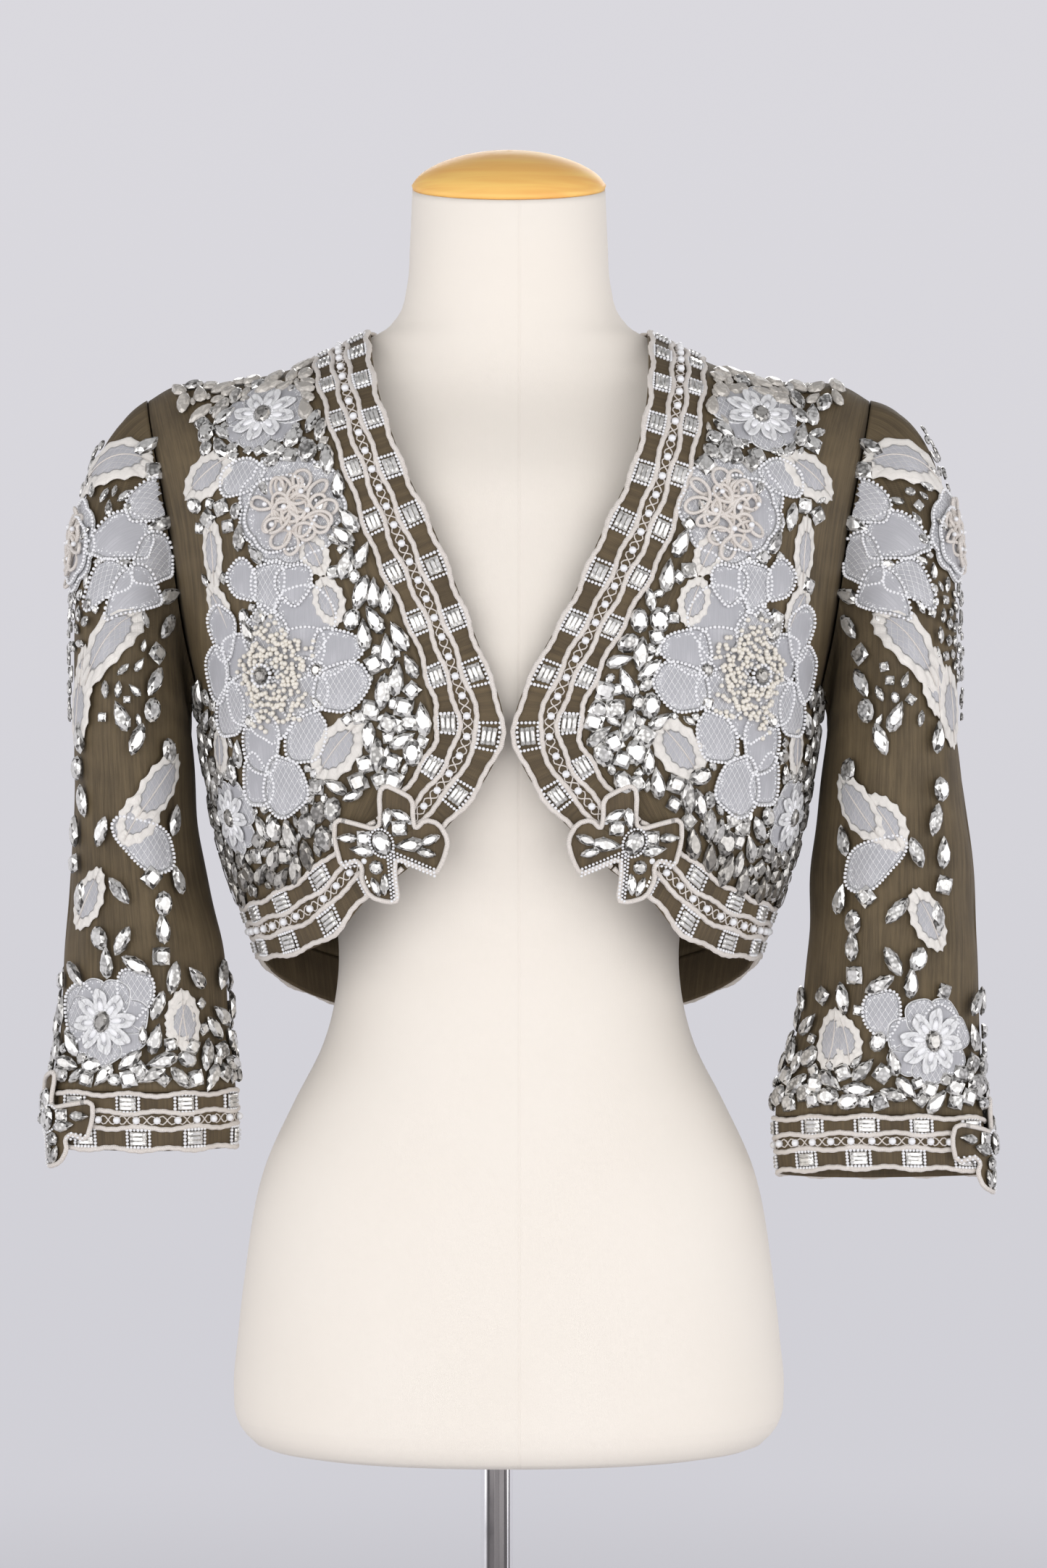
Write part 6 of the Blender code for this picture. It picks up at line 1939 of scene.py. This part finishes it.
def make_stage():
    """A pale floor that fades out, a pale world, soft box lights and the camera."""
    scene = bpy.context.scene
    bpy.ops.mesh.primitive_circle_add(vertices=96, radius=6.0, fill_type="NGON",
                                      location=(0, 0, -0.0005))
    floor = bpy.context.object
    floor.name = "floor"
    tree, shader = new_material("floor_paper")
    far = add(tree, "ShaderNodeVectorMath", {0: own_place(tree)}, operation="LENGTH").outputs["Value"]
    feed(tree, shader, {"Base Color": (0.74, 0.73, 0.76, 1), "Roughness": 0.9,
                        "Alpha": between(tree, far, 0.9, 3.2, 1.0, 0.0)})
    floor.data.materials.append(bpy.data.materials["look_floor_paper"])
    world = bpy.data.worlds.new("studio")
    world.use_nodes = True
    scene.world = world
    tree = world.node_tree
    up = axes_of(tree, add(tree, "ShaderNodeTexCoord").outputs["Generated"])[2]
    share = between(tree, up, -0.18, 0.18)
    pale = blend(tree, share, (0.635, 0.63, 0.675, 1), (0.70, 0.69, 0.73, 1))
    colour = blend(tree, between(tree, up, 0.30, 0.60), pale, (0.26, 0.26, 0.27, 1))
    feed(tree, tree.nodes["Background"], {"Color": colour, "Strength": 1.0})
    for index, (x, y, z, width, height, power) in enumerate(zip(*LIGHTS.values())):
        lamp = bpy.data.lights.new(f"soft_box_{index}", "AREA")
        lamp.shape = "RECTANGLE"
        lamp.size, lamp.size_y, lamp.energy = width, height, power
        item = bpy.data.objects.new(lamp.name, lamp)
        scene.collection.objects.link(item)
        item.location = (x, y, z)
        aim = np.array([0, 0, LIT_HEIGHT]) - np.array([x, y, z])
        item.rotation_euler = (math.acos(-aim[2] / np.linalg.norm(aim)), 0, math.atan2(-aim[0], aim[1]))
    camera = bpy.data.cameras.new("camera")
    camera.lens, camera.sensor_width = CAMERA_LENS, 36.0
    item = bpy.data.objects.new("camera", camera)
    item.location = CAMERA_PLACE
    item.rotation_euler = (math.pi / 2, 0, 0)
    scene.collection.objects.link(item)
    scene.camera = item
    scene.view_settings.view_transform = "Standard"


class JacketLook(bpy.types.PropertyGroup):
    """What can be changed before the jacket is built."""

    crease: bpy.props.FloatProperty(
        name="Crease depth", description="How far the body's creases sink into its cloth",
        default=CREASE_DEPTH, min=0.0, max=0.001, unit="LENGTH")
    spacing: bpy.props.FloatProperty(
        name="Stone spacing", description="Distance between the middles of loose stones",
        default=STONE_SPACING, min=0.007, max=0.03, unit="LENGTH")


class MaterialsOperator(bpy.types.Operator):
    """Make every material and the node groups that they share"""

    bl_idname = "jacket.materials"
    bl_label = "Materials"

    def execute(self, context):
        weave_group()
        stitch_group()
        silk_material("silk", (0.056, 0.038, 0.017, 1), (0.172, 0.124, 0.062, 1), 1.8)
        silk_material("band_silk", (0.056, 0.038, 0.018, 1), (0.150, 0.106, 0.052, 1), 0.9)
        for make in (organza_material, cord_material, bead_material, crystal_material,
                     canvas_material, wood_material, chrome_material):
            make()
        return {"FINISHED"}


class PanelsOperator(bpy.types.Operator):
    """Build the two fronts and the back"""

    bl_idname = "jacket.panels"
    bl_label = "Fronts and back"

    def execute(self, context):
        for side, sign in (("left", 1), ("right", -1)):
            make_panel("front_" + side, front_grid(side), -1, sign)
        make_panel("back", back_grid(), 1, 1)
        return {"FINISHED"}


class SleevesOperator(bpy.types.Operator):
    """Build both sleeves"""

    bl_idname = "jacket.sleeves"
    bl_label = "Sleeves"

    def execute(self, context):
        for side, sleeve in SLEEVES.items():
            make_sleeve(side, sleeve)
        return {"FINISHED"}


class BandsOperator(bpy.types.Operator):
    """Build the bands round the edges and cuffs with their cords, stones and beads"""

    bl_idname = "jacket.bands"
    bl_label = "Bands"

    def execute(self, context):
        for name in ("left", "right", "back"):
            bands = back_bands() if name == "back" else bands_of(name)
            trims = Trims("bands_" + name, body_ground(-1))
            for index, (node, band) in enumerate(bands.items()):
                band.cloth(node)
                band.trim(trims, index)
            trims.make({})
        return {"FINISHED"}


class FrontTrimsOperator(bpy.types.Operator):
    """Lay the blossoms, leaves, bows and stones on both fronts"""

    bl_idname = "jacket.front_trims"
    bl_label = "Front trims"

    def execute(self, context):
        for side in SLEEVES:
            front_trims(side)
        return {"FINISHED"}


class SleeveTrimsOperator(bpy.types.Operator):
    """Lay the blossoms, leaves, cuff bows and stones on both sleeves"""

    bl_idname = "jacket.sleeve_trims"
    bl_label = "Sleeve trims"

    def execute(self, context):
        for side in SLEEVES:
            sleeve_trims(side)
        return {"FINISHED"}


class BackTrimsOperator(bpy.types.Operator):
    """Lay the trims on the back"""

    bl_idname = "jacket.back_trims"
    bl_label = "Back trims"

    def execute(self, context):
        back_trims()
        return {"FINISHED"}


class StandOperator(bpy.types.Operator):
    """Build the torso, its wooden cap, the pole and the foot"""

    bl_idname = "jacket.stand"
    bl_label = "Form and stand"

    def execute(self, context):
        make_form()
        make_cap()
        make_stand()
        return {"FINISHED"}


class StageOperator(bpy.types.Operator):
    """Set the floor, the lights and the camera"""

    bl_idname = "jacket.stage"
    bl_label = "Stage"

    def execute(self, context):
        make_stage()
        return {"FINISHED"}


OPERATORS = (MaterialsOperator, PanelsOperator, SleevesOperator, BandsOperator, FrontTrimsOperator,
             SleeveTrimsOperator, BackTrimsOperator, StandOperator, StageOperator)


class JacketPanel(bpy.types.Panel):
    """Lists the jacket's settings and steps in the sidebar"""

    bl_idname = "VIEW3D_PT_jacket"
    bl_label = "Beaded bolero jacket"
    bl_space_type = "VIEW_3D"
    bl_region_type = "UI"
    bl_category = "Jacket"

    def draw(self, context):
        look = context.scene.jacket_look
        self.layout.prop(look, "crease")
        self.layout.prop(look, "spacing")
        for operator in OPERATORS:
            self.layout.operator(operator.bl_idname)


def register():
    """Add the settings, the operators and the panel."""
    for made in (JacketLook, *OPERATORS, JacketPanel):
        bpy.utils.register_class(made)
    bpy.types.Scene.jacket_look = bpy.props.PointerProperty(type=JacketLook)


def unregister():
    """Take them away again."""
    del bpy.types.Scene.jacket_look
    for made in (JacketPanel, *reversed(OPERATORS), JacketLook):
        bpy.utils.unregister_class(made)


def main():
    """Build everything in order."""
    register()
    for operator in OPERATORS:
        step = operator.bl_idname.split(".")[1]
        if getattr(bpy.ops.jacket, step)() != {"FINISHED"}:
            raise RuntimeError(f"the step {step} did not finish")


if __name__ == "__main__":
    main()
